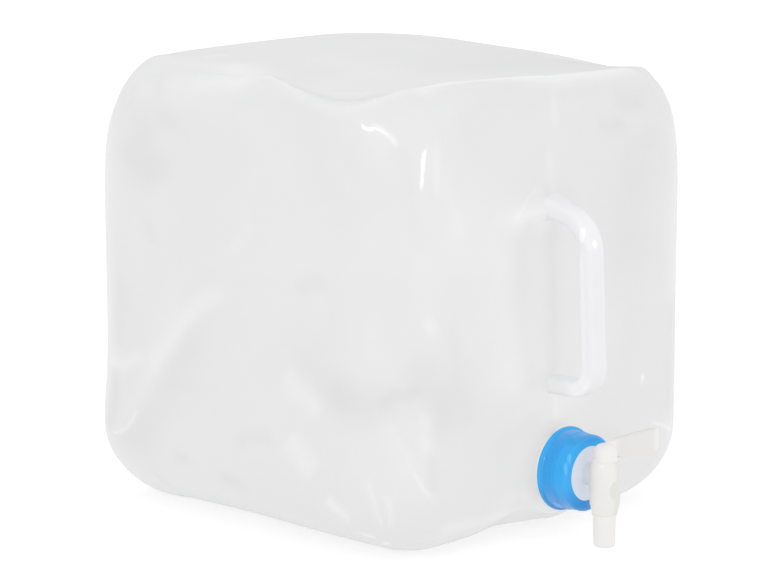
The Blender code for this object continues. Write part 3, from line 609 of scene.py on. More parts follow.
def dressSkin(points, normals):
    # moves the smooth skin into its creases and dents, and says where it whitens and where light and shade
    # are painted on it
    push = np.zeros_like(points)
    white = np.zeros(len(points))
    markRange = 0.16  # from a mark's middle, beyond its last trace
    for mark in marks.values():
        spots = points + uneven(points, mark["rough"]) if mark.get("rough") else points
        near = np.abs(spots - np.array(mark["line"]).mean(axis=0) / 1000).max(axis=1) < markRange
        gap, place, side = nearLine(spots[near], normals[near], mark["line"], mark.get("soft", 1.6))
        left = (side + 1) / 2
        ends = 1.0
        if "out" in mark:
            ends = np.clip(np.minimum(place, 1 - place) / mark.get("fade", 0.22), 0, 1)
            ends = ends * ends * (3 - 2 * ends)
            crisp = mark.get("crisp", 1.0)
            wide = blended(mark["wide"], left)
            level = np.exp(-(np.sqrt(gap ** 2 + crisp ** 2) - crisp) / wide)
            level = level * (1 - np.clip(gap / (4 * wide), 0, 1)) ** 2
            push[near] += normals[near] * (level * ends * mark["out"] / 1000)[:, None]
        reach = blended(mark.get("glow", mark["wide"]), left)
        white[near] += np.exp(-(gap / reach) ** 2) * blended(mark["white"], left) * ends
    for pull in pulls.values():
        away = (points * 1000 - np.array(pull["at"])) / np.array(pull["reach"])
        push += np.exp(-(away ** 2).sum(axis=1))[:, None] * np.array(pull["push"]) / 1000
    push[:, 1] -= webHeight(points) * gripWeb["high"] / 1000
    normal = np.array(facet["normal"])
    beyond = ((points + push) @ normal * 1000 - facet["distance"]) / facet["soft"]
    push -= (np.logaddexp(0, beyond) * facet["soft"] / 1000)[:, None] * normal
    # it swells round the neck
    out = np.hypot(points[:, 0], points[:, 2] - neckZ)
    share = np.clip((out - bag["bossFlat"]) / (bag["bossFoot"] - bag["bossFlat"]), 0, 1)
    share = (1 - share * share * (3 - 2 * share)) * (points[:, 1] < bag["frontPart"])
    push[:, 1] += (frontY - bag["bossRise"] - points[:, 1] - push[:, 1]) * share
    # the whole film is slightly wavy
    x, y, z = points.T * 1000
    wave = (np.sin(x / 23 + 1.3 * np.sin(z / 31) + 0.7) * np.sin(z / 19 + np.sin(y / 27)) +
            0.6 * np.sin(y / 17 + 2.1 * np.sin(z / 37)) * np.sin(z / 26 + x / 33 + 2.0))
    push += normals * (wave * bag["wave"] * (1 - share))[:, None]
    moved = points + push
    moved[:, 2] = np.maximum(moved[:, 2], 0)  # nothing goes below the floor
    return moved, white


def readPoints(source, key):
    values = np.empty(len(source) * 3)
    source.foreach_get(key, values)
    return values.reshape(-1, 3)


def laySkin(name, cuts, inset):
    # the outer skin where inset is 0, else the inner one
    pick()
    bpy.ops.mesh.primitive_cube_add(size=2, location=(0, 0, 0))
    piece = newest()
    piece.name = name
    editAll()
    for count in cuts:
        bpy.ops.mesh.subdivide(number_cuts=count)
    leaveEdit()
    mesh = piece.data
    if inset == 0:
        grid = readPoints(mesh.vertices, "co")
        points = bagPoints(grid)
        sharp = np.zeros(len(points), bool)
        for mark in marks.values():
            if "fine" in mark:
                sharp |= nearLine(points, points * 0, mark["line"])[0] < mark["fine"]
        sharp |= webHeight(points) > 0
        for vertex, chosen in zip(mesh.vertices, sharp):
            vertex.select = bool(chosen)
        for face in mesh.polygons:
            face.select = bool(sharp[list(face.vertices)].all())
        for edge in mesh.edges:
            edge.select = False
        bpy.ops.object.mode_set(mode="EDIT")
        bpy.ops.mesh.select_mode(type="FACE")
        bpy.ops.mesh.subdivide(number_cuts=bag["fineCuts"], ngon=False)
        bpy.ops.mesh.select_mode(type="VERT")
        leaveEdit()
    grid = readPoints(mesh.vertices, "co")
    points = bagPoints(grid)
    # three of the front's columns are drawn close together: they carry the parting line, and lean with it
    belt = points[(points[:, 1] < bag["frontFlat"]) & (abs(grid[:, 2]) < 0.05)]
    columns = np.unique(np.round(belt[:, 0], 5))
    middle = columns[np.argmin(abs(columns))]
    pitch = np.diff(columns)[np.argmin(abs(columns[1:]))]
    half = seam["half"] if inset == 0 else pitch
    before = np.concatenate([[-1], middle + pitch * np.array([-4, -1, 0, 1, 4]), [1]])
    after = [-1, middle - 4 * pitch, -half, 0, half, middle + 4 * pitch, 1]
    gathered = np.interp(points[:, 0], before, after)
    forward = np.clip((bag["frontPart"] - points[:, 1]) / (bag["frontPart"] - bag["frontFlat"]), 0, 1)
    points[:, 0] += (gathered - points[:, 0]) * forward
    onSeam = abs(points[:, 0]) < hairline
    x, y, z = points.T
    sideways = np.clip(1 - (x / seam["reach"]) ** 2, 0, 1) ** 2
    upwards = np.clip((z - seam["foot"]) / seam["footReach"], 0, 1)
    points[:, 0] += seamX(z) * sideways * np.clip(0.5 - y / seam["back"], 0, 1) * upwards
    mesh.vertices.foreach_set("co", points.ravel())
    mesh.update()
    normals = readPoints(mesh.vertex_normals, "vector")
    dressed, white = dressSkin(points, normals)
    if inset == 0:
        onSeam &= (points[:, 1] < bag["frontFace"]) & (points[:, 2] > seam["lowest"])
        dressed[onSeam, 1] -= seam["rise"]
        white = white + seam["white"] * onSeam
    mesh.vertices.foreach_set("co", dressed.ravel())
    # each point keeps its whitening and its painted light and painted shade, for the film's colour
    mark = mesh.attributes.new("paintedLightAndWhitening", "FLOAT", "POINT")
    mark.data.foreach_set("value", np.clip(white, -1, 1).astype(np.float32))
    mesh.update()
    if inset > 0:
        normals = readPoints(mesh.vertex_normals, "vector")
        mesh.vertices.foreach_set("co", (dressed - normals * inset).ravel())
        mesh.update()
    # the neck's hole, its rim drawn to a circle
    shape = bmesh.new()
    shape.from_mesh(mesh)
    hole = bag["neckHole"]

    def offAxis(point):
        return math.hypot(point.x - neckAxis.x, point.z - neckAxis.z)

    middles = [(face, face.calc_center_median()) for face in shape.faces]
    inHole = [face for face, place in middles if place.y < bag["frontPart"] and offAxis(place) < hole]
    bmesh.ops.delete(shape, geom=inHole, context="FACES")
    for vertex in shape.verts:
        if vertex.is_boundary:
            share = hole / offAxis(vertex.co)
            vertex.co.x = neckAxis.x + (vertex.co.x - neckAxis.x) * share
            vertex.co.z = neckAxis.z + (vertex.co.z - neckAxis.z) * share
    if inset > 0:
        bmesh.ops.reverse_faces(shape, faces=shape.faces)
    shape.to_mesh(mesh)
    shape.free()
    return piece


carrierSkin = laySkin("carrierSkin", bag["cuts"], 0)
innerSkin = laySkin("innerSkin", bag["innerCuts"], bag["wall"])
merge(carrierSkin, innerSkin)
bpy.ops.object.mode_set(mode="EDIT")
bpy.ops.mesh.select_all(action="DESELECT")
shape = bmesh.from_edit_mesh(carrierSkin.data)
for edge in shape.edges:
    edge.select_set(edge.is_boundary)
bmesh.update_edit_mesh(carrierSkin.data)
bpy.ops.mesh.bridge_edge_loops()
leaveEdit()
pick(carrierSkin)
bpy.ops.object.shade_smooth_by_angle(angle=math.radians(60))
print("Skin laid:", len(carrierSkin.data.polygons), "faces")


# ---- neck: threaded spigot on a boss that flares into the skin

neck = {
    "bore": 0.0172, "root": 0.0193, "bossRadius": 0.0213, "bossRise": 0.0022, "bossRound": 0.0008,
    "footRadius": 0.0280, "sides": 96, "threadRise": 0.0008, "pitch": 0.004, "threadStart": 0.0070,
    "gasket": 0.0015,
}
gap = 0.0003  # running clearance between the pieces
capBack, capFront, capLip = 0.0049, 0.0244, 0.0016  # along the neck's axis from the front face
tapFlange = 0.0020
neck["end"] = capFront - capLip - gap - tapFlange - gap - neck["gasket"] - gap


def standOnNeck(thing):
    # from its own Z axis to the neck's axis, out of the front face
    thing.rotation_euler = (math.pi / 2, 0, 0)
    thing.location = neckAxis
    return setDown(thing)


bore, root, boss, end = neck["bore"], neck["root"], neck["bossRadius"], neck["end"]
rise, rim = neck["bossRise"], neck["bossRound"]
neckRings = [(bore, -0.006), (bore, end - 0.0004), (bore + 0.0004, end), (root - 0.0004, end),
             (root, end - 0.0004), (root, rise + 0.0012), (root + 0.0004, rise + 0.0003),
             (root + 0.0014, rise), (boss - rim - 0.0002, rise)]
neckRings += arc((boss - rim, rise - rim), rim, 80, 0, 5)
neckRings += [(boss, -0.0004), (neck["footRadius"] - 0.001, -0.0008), (neck["footRadius"], -0.0018)]
neckSpigot = growRings("neckSpigot", neckRings, neck["sides"], closed=True)
standOnNeck(neckSpigot)


def addThread(host, radius, start, rise, turns=2):
    # a round ridge wound round the axis
    pick()
    bpy.ops.mesh.primitive_circle_add(vertices=8, radius=rise, rotation=(math.pi / 2, 0, 0))
    ridge = setDown(newest())
    editAll()
    bpy.ops.transform.translate(value=(radius, 0, start))
    leaveEdit()
    useModifier(ridge, "SCREW", angle=2 * math.pi * turns, screw_offset=turns * neck["pitch"], steps=96,
                render_steps=96, use_merge_vertices=False, use_smooth_shade=True)
    standOnNeck(ridge)
    tidyMesh(ridge, 60)
    merge(host, ridge)


addThread(neckSpigot, neck["root"], neck["threadStart"], neck["threadRise"])
tidyMesh(neckSpigot)
print("Neck done")


# ---- ring cap: flange, ribbed drum, step and rounded nose

cap = {
    "flangeRadius": 0.0246, "flange": 0.0022, "drumRadius": 0.0228, "drumEnd": 0.0150,
    "noseRadius": 0.0224, "bore": 0.0207, "mouth": 0.0160, "round": 0.0024,
    "ribs": 12, "ribWide": 0.0011, "ribRise": 0.00012, "dotRadius": 0.0006, "sides": 144,
}
mouth, nose, edge = cap["mouth"], cap["noseRadius"], cap["round"]
drum, brim = cap["drumRadius"], cap["flangeRadius"]
drumEnd, flangeEnd = cap["drumEnd"], capBack + cap["flange"]
capRings = [(mouth, capFront - capLip), (mouth, capFront - 0.0004), (mouth + 0.0004, capFront)]
capRings += arc((nose - edge, capFront - edge), edge, 90, 0, 7)
capRings += [(nose, drumEnd + 0.0005), (nose + 0.0001, drumEnd + 0.0002), (drum - 0.0003, drumEnd),
             (drum, drumEnd - 0.0004), (drum, flangeEnd + 0.0007), (drum + 0.0004, flangeEnd + 0.0001),
             (brim - 0.0006, flangeEnd), (brim, flangeEnd - 0.0006), (brim, capBack + 0.0005),
             (brim - 0.0005, capBack), (cap["bore"] + 0.0004, capBack), (cap["bore"], capBack + 0.0004),
             (cap["bore"], capFront - capLip), (mouth, capFront - capLip)]
capRing = growRings("capRing", capRings, cap["sides"], closed=True)
tidyMesh(capRing, 30)


def copyRound(model, count, start=0.0):
    # copies a modelled detail round Z, each with its own mesh, and joins them
    copies = []
    for i in range(count):
        pick(model)
        bpy.ops.object.duplicate()
        made = newest()
        made.rotation_euler = (0, 0, 2 * math.pi * (i + start) / count)
        copies.append(setDown(made))
    bpy.data.objects.remove(model)
    merge(*reversed(copies))
    return copies[-1]


pick()
ribLong = drumEnd - flangeEnd - 0.0008
bpy.ops.mesh.primitive_cube_add(size=1, location=(drum, 0, flangeEnd + ribLong / 2 + 0.0002),
                                scale=(cap["ribRise"] * 2, cap["ribWide"], ribLong))
rib = setDown(newest())
roundEdges(rib, 0.0001, 2)
pick()
bpy.ops.mesh.primitive_uv_sphere_add(segments=16, ring_count=10, radius=cap["dotRadius"],
                                     location=(drum - 0.0002, 0, flangeEnd + ribLong / 2))
dot = setDown(newest())
merge(rib, dot)
merge(capRing, copyRound(rib, cap["ribs"], 0.5))
standOnNeck(capRing)
bpy.ops.object.shade_smooth_by_angle(angle=math.radians(32))
print("Cap done")


# ---- tap body: flange disc, barrel and upright sleeve

tap = {
    "flangeRadius": 0.0195, "reach": 0.0357, "barrelRadius": 0.0063, "barrelBore": 0.0042,
    "sleeveRadius": 0.0092, "sleeveBottom": 0.0194, "sleeveTop": 0.0510, "sleeveBore": 0.0069,
    "collarRadius": 0.0078, "collar": 0.0052, "footRadius": 0.0074, "foot": 0.0050,
    "slotHeight": 0.0345, "slotHalf": (0.0027, 0.0008, 0.0054), "slotTurn": -12,
}
tapY = frontY - tap["reach"]
disc, barrel = tap["flangeRadius"], tap["barrelRadius"]
discBack = capFront - capLip - gap - tapFlange
discFront = discBack + tapFlange
tapBody = growRings("tapBody", [
    (disc - 0.0004, discBack), (disc, discBack + 0.0004), (disc, discFront - 0.0004),
    (disc - 0.0004, discFront), (barrel + 0.0016, discFront), (barrel + 0.0006, discFront + 0.0003),
    (barrel + 0.0001, discFront + 0.0012), (barrel, discFront + 0.0022), (barrel, tap["reach"])], 96)
standOnNeck(tapBody)
tidyMesh(tapBody)
outer, collar = tap["sleeveRadius"], tap["collarRadius"]
sleeveTop, sleeveEnd = tap["sleeveTop"], tap["sleeveBottom"]
footTop = sleeveEnd + tap["foot"]
sleeveRings = [(collar - 0.0003, sleeveTop)]
for i in range(9):  # a collar that swells into the sleeve
    share = i / 8
    sleeveRings.append((collar + (outer - collar) * math.sin(share * math.pi / 2),
                        sleeveTop - 0.0003 - tap["collar"] * share))
sleeveRings += [(outer - 0.00005, 0.0400), (outer - 0.00025, 0.0320), (outer - 0.0005, footTop + 0.0010),
                (outer - 0.0007, footTop + 0.0003), (outer - 0.0010, footTop - 0.0004),
                (tap["footRadius"], sleeveEnd + 0.0004), (tap["footRadius"] - 0.0002, sleeveEnd)]
sleeve = growRings("sleeve", sleeveRings, 96)
sleeve.location = (0, tapY, 0)
setDown(sleeve)
tidyMesh(sleeve)
combine(tapBody, sleeve, "UNION")


def drillOut(host, radius, low, high, place, turn, sides=64):
    # a bore along the drill's own Z axis, from low to high
    pick()
    bpy.ops.mesh.primitive_cylinder_add(vertices=sides, radius=radius, depth=high - low,
                                        location=(0, 0, (low + high) / 2))
    drill = setDown(newest())
    drill.rotation_euler = turn
    drill.location = place
    setDown(drill)
    combine(host, drill, "DIFFERENCE")


drillOut(tapBody, tap["sleeveBore"], sleeveEnd - 0.01, sleeveTop + 0.01, (0, tapY, 0), (0, 0, 0))
drillOut(tapBody, tap["barrelBore"], 0, tap["reach"], neckAxis, (math.pi / 2, 0, 0))
# a shallow oval recess in the sleeve's front
pick()
bpy.ops.mesh.primitive_uv_sphere_add(segments=32, ring_count=20, radius=1,
                                     location=(0, -outer, tap["slotHeight"]), scale=tap["slotHalf"])
recess = setDown(newest())
recess.rotation_euler = (0, 0, math.radians(tap["slotTurn"]))
recess.location = (0, tapY, 0)
setDown(recess)
combine(tapBody, recess, "DIFFERENCE")
tidyMesh(tapBody, 30)
print("Tap body done")


# ---- plug, lever and spout, which turn together

plug = {
    "radius": 0.0066, "bore": 0.0038, "portRadius": 0.0036, "spoutRadius": 0.0066, "spoutTip": 0.0003,
    "beadRadius": 0.0073, "shoulderRadius": 0.0077, "shoulder": 0.0010, "hubRadius": 0.0067,
    "hubTop": 0.0606, "dome": 0.0050, "ringSection": 0.00066, "grooves": (0.0482, 0.0300),
    "leverLong": 0.0470, "leverTop": 0.0618, "leverTipLow": 0.0487,
}
hub, stem, bead, spout = plug["hubRadius"], plug["radius"], plug["beadRadius"], plug["spoutRadius"]
dome, hubTop, shoulder, tip = plug["dome"], plug["hubTop"], plug["shoulderRadius"], plug["spoutTip"]
shoulderBase, beadTop = sleeveTop + hairline, sleeveEnd - hairline
shoulderTop = shoulderBase + plug["shoulder"]
grooveFloor = stem - 2 * plug["ringSection"] - gap
grooveHalf = plug["ringSection"] + gap
plugRings = arc((hub - dome, hubTop - dome), dome, 84, 0, 8)
plugRings += [(hub, shoulderTop + 0.0006), (hub + 0.0002, shoulderTop + 0.0002),
              (hub + 0.0007, shoulderBase + plug["shoulder"] * 0.6),
              (shoulder - 0.0003, shoulderBase + 0.0003), (shoulder, shoulderBase), (stem, shoulderBase)]
for middle in plug["grooves"]:
    plugRings += [(stem, middle + grooveHalf), (grooveFloor, middle + grooveHalf),
                  (grooveFloor, middle - grooveHalf), (stem, middle - grooveHalf)]
plugRings += [(stem, beadTop), (bead - 0.0002, beadTop), (bead, beadTop - 0.0002),
              (bead - 0.0002, beadTop - 0.0008), (spout + 0.0001, beadTop - 0.0020),
              (spout, beadTop - 0.0032), (spout - 0.0003, tip + 0.0012), (spout - 0.0005, tip + 0.0006),
              (spout - 0.0011, tip)]
tapLever = growRings("tapLever", plugRings, 96)
tidyMesh(tapLever)

# the lever's blade, drawn as a plate and extruded outline by outline from the hub
pick()
leverLow, leverTop, tipLow = shoulderBase + 0.0005, plug["leverTop"], plug["leverTipLow"]
bladeRings = [  # x, lowest z, highest z, half thickness
    (-0.0020, leverLow, hubTop - 0.0002, 0.0014), (0.0020, leverLow, hubTop + 0.0005, 0.0017),
    (0.0060, leverLow, hubTop + 0.0009, 0.0018), (0.0098, leverLow, hubTop + 0.0013, 0.0018),
    (0.0122, leverLow - 0.0012, hubTop + 0.0015, 0.0018),
    (0.0160, leverLow - 0.0017, leverTop + 0.0006, 0.0018),
    (0.0300, tipLow + 0.0002, leverTop + 0.0008, 0.0018), (0.0385, tipLow, leverTop + 0.0007, 0.0018),
    (0.0440, tipLow + 0.0006, leverTop + 0.0003, 0.0018),
    (0.0462, tipLow + 0.0017, leverTop - 0.0003, 0.0016),
    (plug["leverLong"], tipLow + 0.0030, leverTop - 0.0014, 0.0010),
]
x, low, high, half = bladeRings[0]
bpy.ops.mesh.primitive_plane_add(size=1, location=(x, 0, (low + high) / 2), rotation=(0, math.pi / 2, 0))
blade = setDown(newest())
editAll()
bpy.ops.transform.resize(value=(1, 2 * half, high - low), center_override=(x, 0, (low + high) / 2))
for nextX, nextLow, nextHigh, nextHalf in bladeRings[1:]:
    middle, nextMiddle = (low + high) / 2, (nextLow + nextHigh) / 2
    bpy.ops.mesh.extrude_region_move(TRANSFORM_OT_translate={"value": (nextX - x, 0, nextMiddle - middle)})
    bpy.ops.transform.resize(value=(1, nextHalf / half, (nextHigh - nextLow) / (high - low)),
                             center_override=(nextX, 0, nextMiddle))
    x, low, high, half = nextX, nextLow, nextHigh, nextHalf
leaveEdit()
tidyMesh(blade)
roundEdges(blade, 0.0006, 3, 50)
combine(tapLever, blade, "UNION")
drillOut(tapLever, plug["bore"], tip - 0.01, neckZ + plug["portRadius"] + 0.0004, (0, 0, 0), (0, 0, 0), 48)
drillOut(tapLever, plug["portRadius"], 0, 0.014, (0, 0, neckZ), (0, -math.pi / 2, 0), 32)
tapLever.location = (0, tapY, 0)
setDown(tapLever)
tidyMesh(tapLever, 32)
print("Lever done")


# ---- grip: a hollow loop, flattened in section, whose roots spread into the wall

grip = {
    "across": 0.0072, "deep": 0.0052, "square": 3.2, "standoff": 0.0290, "bottom": 0.0905, "top": 0.1958,
    "bend": 0.014, "shoulderOut": 0.0120, "shoulderDrop": 0.0032, "sides": 72, "wall": 0.0014,
    "topSpread": (1.5, 1.3), "bottomSpread": (1.2, 1.0), "spreadReach": 0.020,
}


def gripStations():
    # centre line from the lower root to the upper one, in the plane x = 0
    lineY = frontY - grip["standoff"]
    points = [Vector((0, frontY + 0.004 - 0.002 * i, grip["bottom"])) for i in range(10)]
    for i in range(11):
        turn = i / 10 * math.pi / 2
        points.append(Vector((0, lineY + grip["bend"] * (1 - math.sin(turn)),
                              grip["bottom"] + grip["bend"] * (1 - math.cos(turn)))))
    shoulder = Vector((0, frontY - grip["shoulderOut"], grip["top"] - grip["shoulderDrop"]))
    root = Vector((0, frontY, grip["top"]))
    slope = (shoulder - root).normalized()
    corner = shoulder + slope * ((lineY - shoulder.y) / slope.y)
    straightTop = Vector((0, lineY, corner.z - (corner - shoulder).length))
    straightLow = points[-1].z
    for i in range(1, 8):
        points.append(Vector((0, lineY, straightLow + (straightTop.z - straightLow) * i / 8)))
    for i in range(11):
        share = 1 - i / 10
        points.append(shoulder.lerp(corner, share).lerp(corner.lerp(straightTop, share), share))
    for i in range(1, 13):
        points.append(shoulder.lerp(root - slope * 0.004, i / 12))
    return points


stations = gripStations()
pick()
bpy.ops.mesh.primitive_circle_add(vertices=grip["sides"], radius=1, location=stations[0],
                                  rotation=(math.pi / 2, 0, 0))
gripLoop = setDown(newest())
gripLoop.name = "gripLoop"
shape = bmesh.new()
shape.from_mesh(gripLoop.data)
for vertex in shape.verts:  # the circle becomes a flattened, rounded section
    flat = vertex.co - stations[0]
    power = 2 / grip["square"]
    x = math.copysign(abs(flat.x) ** power, flat.x) * grip["across"]
    z = math.copysign(abs(flat.z) ** power, flat.z) * grip["deep"]
    vertex.co = stations[0] + Vector((x, 0, z))
shape.to_mesh(gripLoop.data)
shape.free()
editAll()
heading = Vector((0, -1, 0))
onward = stations[-1] + (stations[-1] - stations[-2])
for here, there, beyond in zip(stations, stations[1:], stations[2:] + [onward]):
    nextHeading = ((there - here).normalized() + (beyond - there).normalized()).normalized()
    turn = math.atan2(heading.y * nextHeading.z - heading.z * nextHeading.y, heading.dot(nextHeading))
    bpy.ops.mesh.extrude_edges_move(TRANSFORM_OT_translate={"value": there - here})
    bpy.ops.transform.rotate(value=-turn, orient_axis="X", center_override=there)
    heading = nextHeading
leaveEdit()
shape = bmesh.new()
shape.from_mesh(gripLoop.data)
for vertex in shape.verts:  # the roots widen into the wall, and the whole loop leans with the parting line
    near = min(1, max(0, 1 - (frontY - vertex.co.y) / grip["spreadReach"]))
    upper = vertex.co.z > (grip["top"] + grip["bottom"]) / 2
    spreadX, spreadZ = grip["topSpread"] if upper else grip["bottomSpread"]
    middle = grip["top"] - 0.002 if upper else grip["bottom"]
    vertex.co.x *= 1 + (spreadX - 1) * near ** 2
    vertex.co.z = middle + (vertex.co.z - middle) * (1 + (spreadZ - 1) * near ** 2)
    vertex.co.x += seamX(vertex.co.z)
shape.to_mesh(gripLoop.data)
shape.free()
tidyMesh(gripLoop, 70)
useModifier(gripLoop, "SOLIDIFY", thickness=grip["wall"], offset=-1)
tidyMesh(gripLoop, 70)
print("Grip done")


# ---- finishes

def milkyWall():
    paint = Paint("milkyWall", Coat_Weight=0.7, Coat_Roughness=0.07, IOR=1.5)
    # crease whitening with the marks' painted light and painted shade; where it is darker the film also lets
    # more of the dark inside show
    paintedLightAndWhitening = paint.attribute("paintedLightAndWhitening")
    cloud = paint.noise(14, 3, 0.55, 0.6)
    fine = paint.noise(90, 3, 0.6)
    level = paintedLightAndWhitening * 0.5 + (cloud - 0.5) * 0.35 + (fine - 0.5) * 0.10
    facing = paint.node("ShaderNodeLayerWeight", {}, {"Blend": 0.5}, out="Facing")
    edge = facing ** 14
    colour = paint.mix(level + 0.5, tone(225, 225, 225), tone(245, 245, 246))
    colour = paint.mix(edge * 0.9, colour, tone(196, 197, 198))  # dense where it is seen along the film
    grain = paint.bump(paint.noise(260, 2, 0.5), 0.06, 0.0006)
    ripple = paint.bump(paint.noise(38, 2, 0.5, 0.4), 0.10, 0.0016, grain)
    rough = 0.35 + (cloud - 0.5) * 0.10 + (fine - 0.5) * 0.04
    alpha = paintedLightAndWhitening.span(-1, 1, 0.91, 0.985)
    coat = 0.7 - facing ** 5 * 0.66
    return paint.set(Base_Color=colour, Roughness=rough, Normal=ripple, Alpha=alpha, Coat_Weight=coat)


lean = 0.0534  # the parting line's slope, x over z


def moulded(name, dark, light, roughness, cloudScale=60, coat=0.3, grainScale=420, gloss=0.5, zones=()):
    # an injection-moulded plastic: faint flow marks, fine skin and slightly uneven gloss
    paint = Paint(name, Coat_Roughness=0.08, IOR=1.5, Specular_IOR_Level=gloss)
    facing = paint.node("ShaderNodeLayerWeight", {}, {"Blend": 0.5}, out="Facing")
    flow = paint.noise(cloudScale, 3, 0.5, 0.8)
    fine = paint.noise(grainScale, 2, 0.5)
    colour = paint.mix(flow * 0.8 + fine * 0.2, tone(*dark), tone(*light))
    # a zone has its own tone past each limit (axis, start and end of the change) or inside an ellipsoid
    for zone, *limits in zones:
        share = 1.0 - flow * 0.06
        for axis, start, stop in limits:
            if axis == "near":
                share = share * paint.near(start, stop)
            elif axis == "lean":  # across the grip, which leans with the parting line
                share = share * (paint.along("X") + paint.along("Z") * lean).span(start, stop)
            else:
                share = share * paint.along(axis).span(start, stop)
        colour = paint.mix(share, colour, tone(*zone))
    skin = paint.bump(fine, 0.05, 0.0003)
    rough = roughness + (flow - 0.5) * 0.10 + (fine - 0.5) * 0.04
    return paint.set(Base_Color=colour, Roughness=rough, Normal=skin, Coat_Weight=coat - facing ** 3 * coat)


finishes = {
    "skin": milkyWall(),
    # its zones are painted light: the upper arm lighter, a light strip down the bar's left side, the lower
    # root lighter against the shade by the wall, and two painted highlights on the upper bend
    "grip": moulded("gripPlastic", (235, 235, 237), (241, 241, 243), 0.36, 30, 0.3, 700, zones=[
        ((243, 243, 245), ("Z", 0.168, 0.182)),
        ((250, 250, 252), ("lean", -0.0016, -0.0040), ("Y", -0.1672, -0.1610), ("Z", 0.178, 0.168)),
        ((241, 241, 242), ("Y", -0.1540, -0.1440), ("Z", 0.112, 0.106)),
        ((254, 254, 255), ("near", (-0.0144, -0.1626, 0.1825), (0.0040, 0.0018, 0.0042))),
        ((254, 254, 255), ("near", (-0.0087, -0.1680, 0.1776), (0.0022, 0.0022, 0.0027)))]),
    "neck": moulded("neckPlastic", (231, 232, 234), (239, 239, 241), 0.36, 50, 0.3),
    # its zones are painted shade and light: the drum darker, the flange a little lighter, darker towards the
    # bottom and on the nose's top, and two painted highlights on the nose's rounded edge
    "cap": moulded("capPlastic", (14, 166, 243), (32, 175, 247), 0.36, 70, 0.65, gloss=0.4, zones=[
        ((10, 160, 239), ("Y", -0.1515, -0.1490)), ((16, 170, 242), ("Y", -0.1425, -0.1405)),
        ((6, 136, 214), ("Z", 0.040, 0.018)),
        ((12, 158, 231), ("Z", 0.0580, 0.0612), ("Y", -0.1500, -0.1520)),
        ((70, 190, 250), ("near", (-0.0205, -0.1574, 0.0467), (0.0009, 0.0012, 0.0042))),
        ((70, 190, 250), ("near", (-0.0176, -0.1577, 0.0532), (0.0012, 0.0010, 0.0050)))]),
    # its zones are painted shade: darker on the sleeve's right side and in the oval recess, and the disc in
    # the cap's mouth shaded and tinted by blue light from the cap
    "tap": moulded("tapPlastic", (233, 232, 229), (240, 239, 236), 0.38, 70, 0.3, zones=[
        ((226, 227, 223), ("X", -0.0028, 0.0008)),
        ((228, 227, 221), ("near", (-0.0022, tapY - outer, tap["slotHeight"]), (0.0027, 0.004, 0.0053))),
        ((221, 228, 242), ("Y", -0.1655, -0.1605))]),
    # its zones: the blade a little darker than the hub, a painted shade along the blade's top edge, and the
    # tip lighter again
    "lever": moulded("leverPlastic", (237, 235, 234), (244, 242, 241), 0.38, 70, 0.3, zones=[
        ((231, 229, 227), ("X", 0.006, 0.012)),
        ((229, 227, 225), ("X", 0.006, 0.012), ("Z", 0.0606, 0.0622), ("X", 0.0460, 0.0430)),
        ((239, 238, 235), ("X", 0.0400, 0.0440))]),
    "gasket": moulded("gasketRubber", (196, 200, 206), (214, 217, 222), 0.55, 90, 0.0),
    "ring": moulded("ringRubber", (34, 34, 35), (58, 58, 60), 0.50, 120, 0.1),
}


def finish(piece, kind, body, slot, *nodes):
    piece.data.materials.clear()
    piece.data.materials.append(finishes[kind])
    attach(piece, body)
    if nodes:
        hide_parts(*nodes)


finish(carrierSkin, "skin", "container", "milky_polyethylene", "front_wall", "side_walls", "back_wall")
finish(neckSpigot, "neck", "container", "neck_white", "threaded_neck")
finish(gripLoop, "grip", "container", "grip_white", "carry_handle")
finish(capRing, "cap", "cap", "cap_blue", "cap_ring")
for piece in (capRing, gripLoop, tapBody, tapLever):
    piece.visible_diffuse = False  # the milky wall shows next to no shade or colour from them
for piece in (capRing, gripLoop):
    piece.visible_shadow = False
capRing.visible_glossy = False
finish(tapBody, "tap", "tap", "tap_white", "tap_body")
finish(tapLever, "lever", "key", "lever_white", "tap_plug")
for node, kind in (("flange_gasket", "gasket"), ("upper_o_ring", "ring"), ("lower_o_ring", "ring")):
    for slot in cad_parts[node].material_slots:
        slot.material = finishes[kind]
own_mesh(carrierSkin)
print("Finishes on")


# ---- floor, light and camera

studio = {
    "azimuth": -46.06, "elevation": 10.77, "distance": 2.0, "lens": 153.0, "shift": (0.0008, -0.0199),
    "aim": (0, 0.002, 0.135), "world": 0.95, "floorGlow": 0.34, "floorBounce": 0.82,
    "lamps": {
        "uprightLamp": {"azimuth": -12, "elevation": 7, "distance": 2.0, "size": (0.15, 0.40), "power": 1.4},
        "tubeLamp": {"azimuth": -66, "elevation": 24, "distance": 2.0, "size": (0.80, 0.08), "power": 2.2}},
}


def aimed(thing, values):
    # stands it off the aim by its azimuth, elevation and distance, and turns it there
    a, e = math.radians(values["azimuth"]), math.radians(values["elevation"])
    back = Vector((math.sin(a) * math.cos(e), -math.cos(a) * math.cos(e), math.sin(e)))
    aim = Vector(studio["aim"])
    place = aim + back * values["distance"]
    thing.location = place
    thing.rotation_euler = (aim - place).to_track_quat("-Z", "Y").to_euler()


for name, values in studio["lamps"].items():
    pick()
    bpy.ops.object.light_add(type="AREA")
    lamp = newest()
    lamp.name = name
    lamp.data.shape = "RECTANGLE"
    lamp.data.size, lamp.data.size_y = values["size"]
    lamp.data.energy = values["power"]
    aimed(lamp, values)

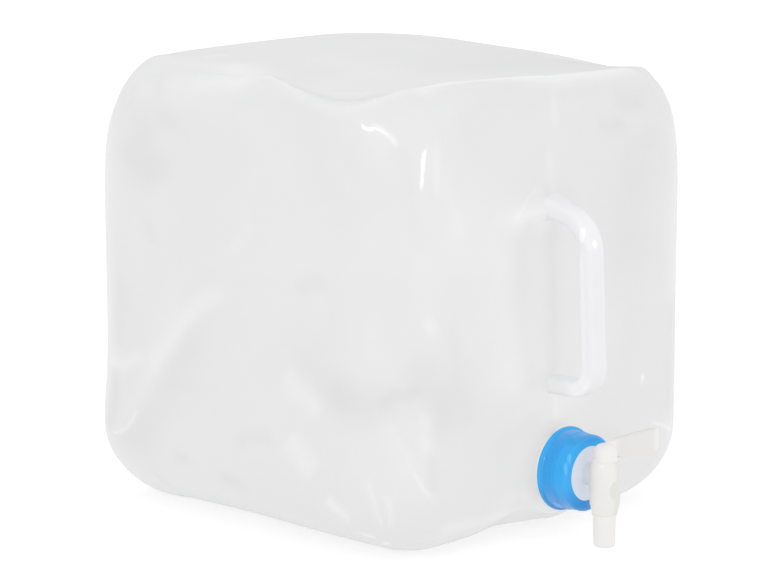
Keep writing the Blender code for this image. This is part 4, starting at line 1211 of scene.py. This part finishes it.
world = bpy.context.scene.world or bpy.data.worlds.new("Studio")
bpy.context.scene.world = world
world.use_nodes = True
sky = world.node_tree
sky.nodes.clear()
rays = sky.nodes.new("ShaderNodeLightPath")
seen = sky.nodes.new("ShaderNodeMath")
seen.operation = "MAXIMUM"
sky.links.new(rays.outputs["Is Camera Ray"], seen.inputs[0])
sky.links.new(rays.outputs["Is Transmission Ray"], seen.inputs[1])
blend = sky.nodes.new("ShaderNodeMixShader")
sky.links.new(seen.outputs[0], blend.inputs[0])
for socket, strength in ((1, studio["world"]), (2, 1.0)):  # pure white where the camera sees it
    shine = sky.nodes.new("ShaderNodeBackground")
    shine.inputs["Color"].default_value = (1, 1, 1, 1)
    shine.inputs["Strength"].default_value = strength
    sky.links.new(shine.outputs[0], blend.inputs[socket])
skyOut = sky.nodes.new("ShaderNodeOutputWorld")
sky.links.new(blend.outputs[0], skyOut.inputs[0])

pick()
bpy.ops.mesh.primitive_plane_add(size=8, location=(0, 0, -0.0002))
floor = setDown(newest())
floor.name = "floor"
floorPaint = Paint("floorPaper", Roughness=0.9)
rays = floorPaint.tree.nodes.new("ShaderNodeLightPath")
direct = 0
for kind in ("Is Camera Ray", "Is Glossy Ray", "Is Transmission Ray"):
    direct = floorPaint.maths("MAXIMUM", Wire(floorPaint, rays.outputs[kind]), direct)
bounce, glow = (studio["floorBounce"],) * 3, (studio["floorGlow"],) * 3
floorPaint.set(Base_Color=floorPaint.mix(direct, (0.10,) * 3, (0.80,) * 3),
               Emission_Color=floorPaint.mix(direct, bounce, glow))
floorPaint.shader.inputs["Emission Strength"].default_value = 1.0
floorPaint.shader.inputs["Specular IOR Level"].default_value = 0.0
floor.data.materials.append(floorPaint.material)

pick()
bpy.ops.object.camera_add()
camera = newest()
camera.name = "camera"
camera.data.lens = studio["lens"]
camera.data.sensor_width = 36
camera.data.shift_x, camera.data.shift_y = studio["shift"]
aimed(camera, studio)
bpy.context.scene.camera = camera
bpy.context.scene.view_settings.view_transform = "Standard"
print("Studio set")
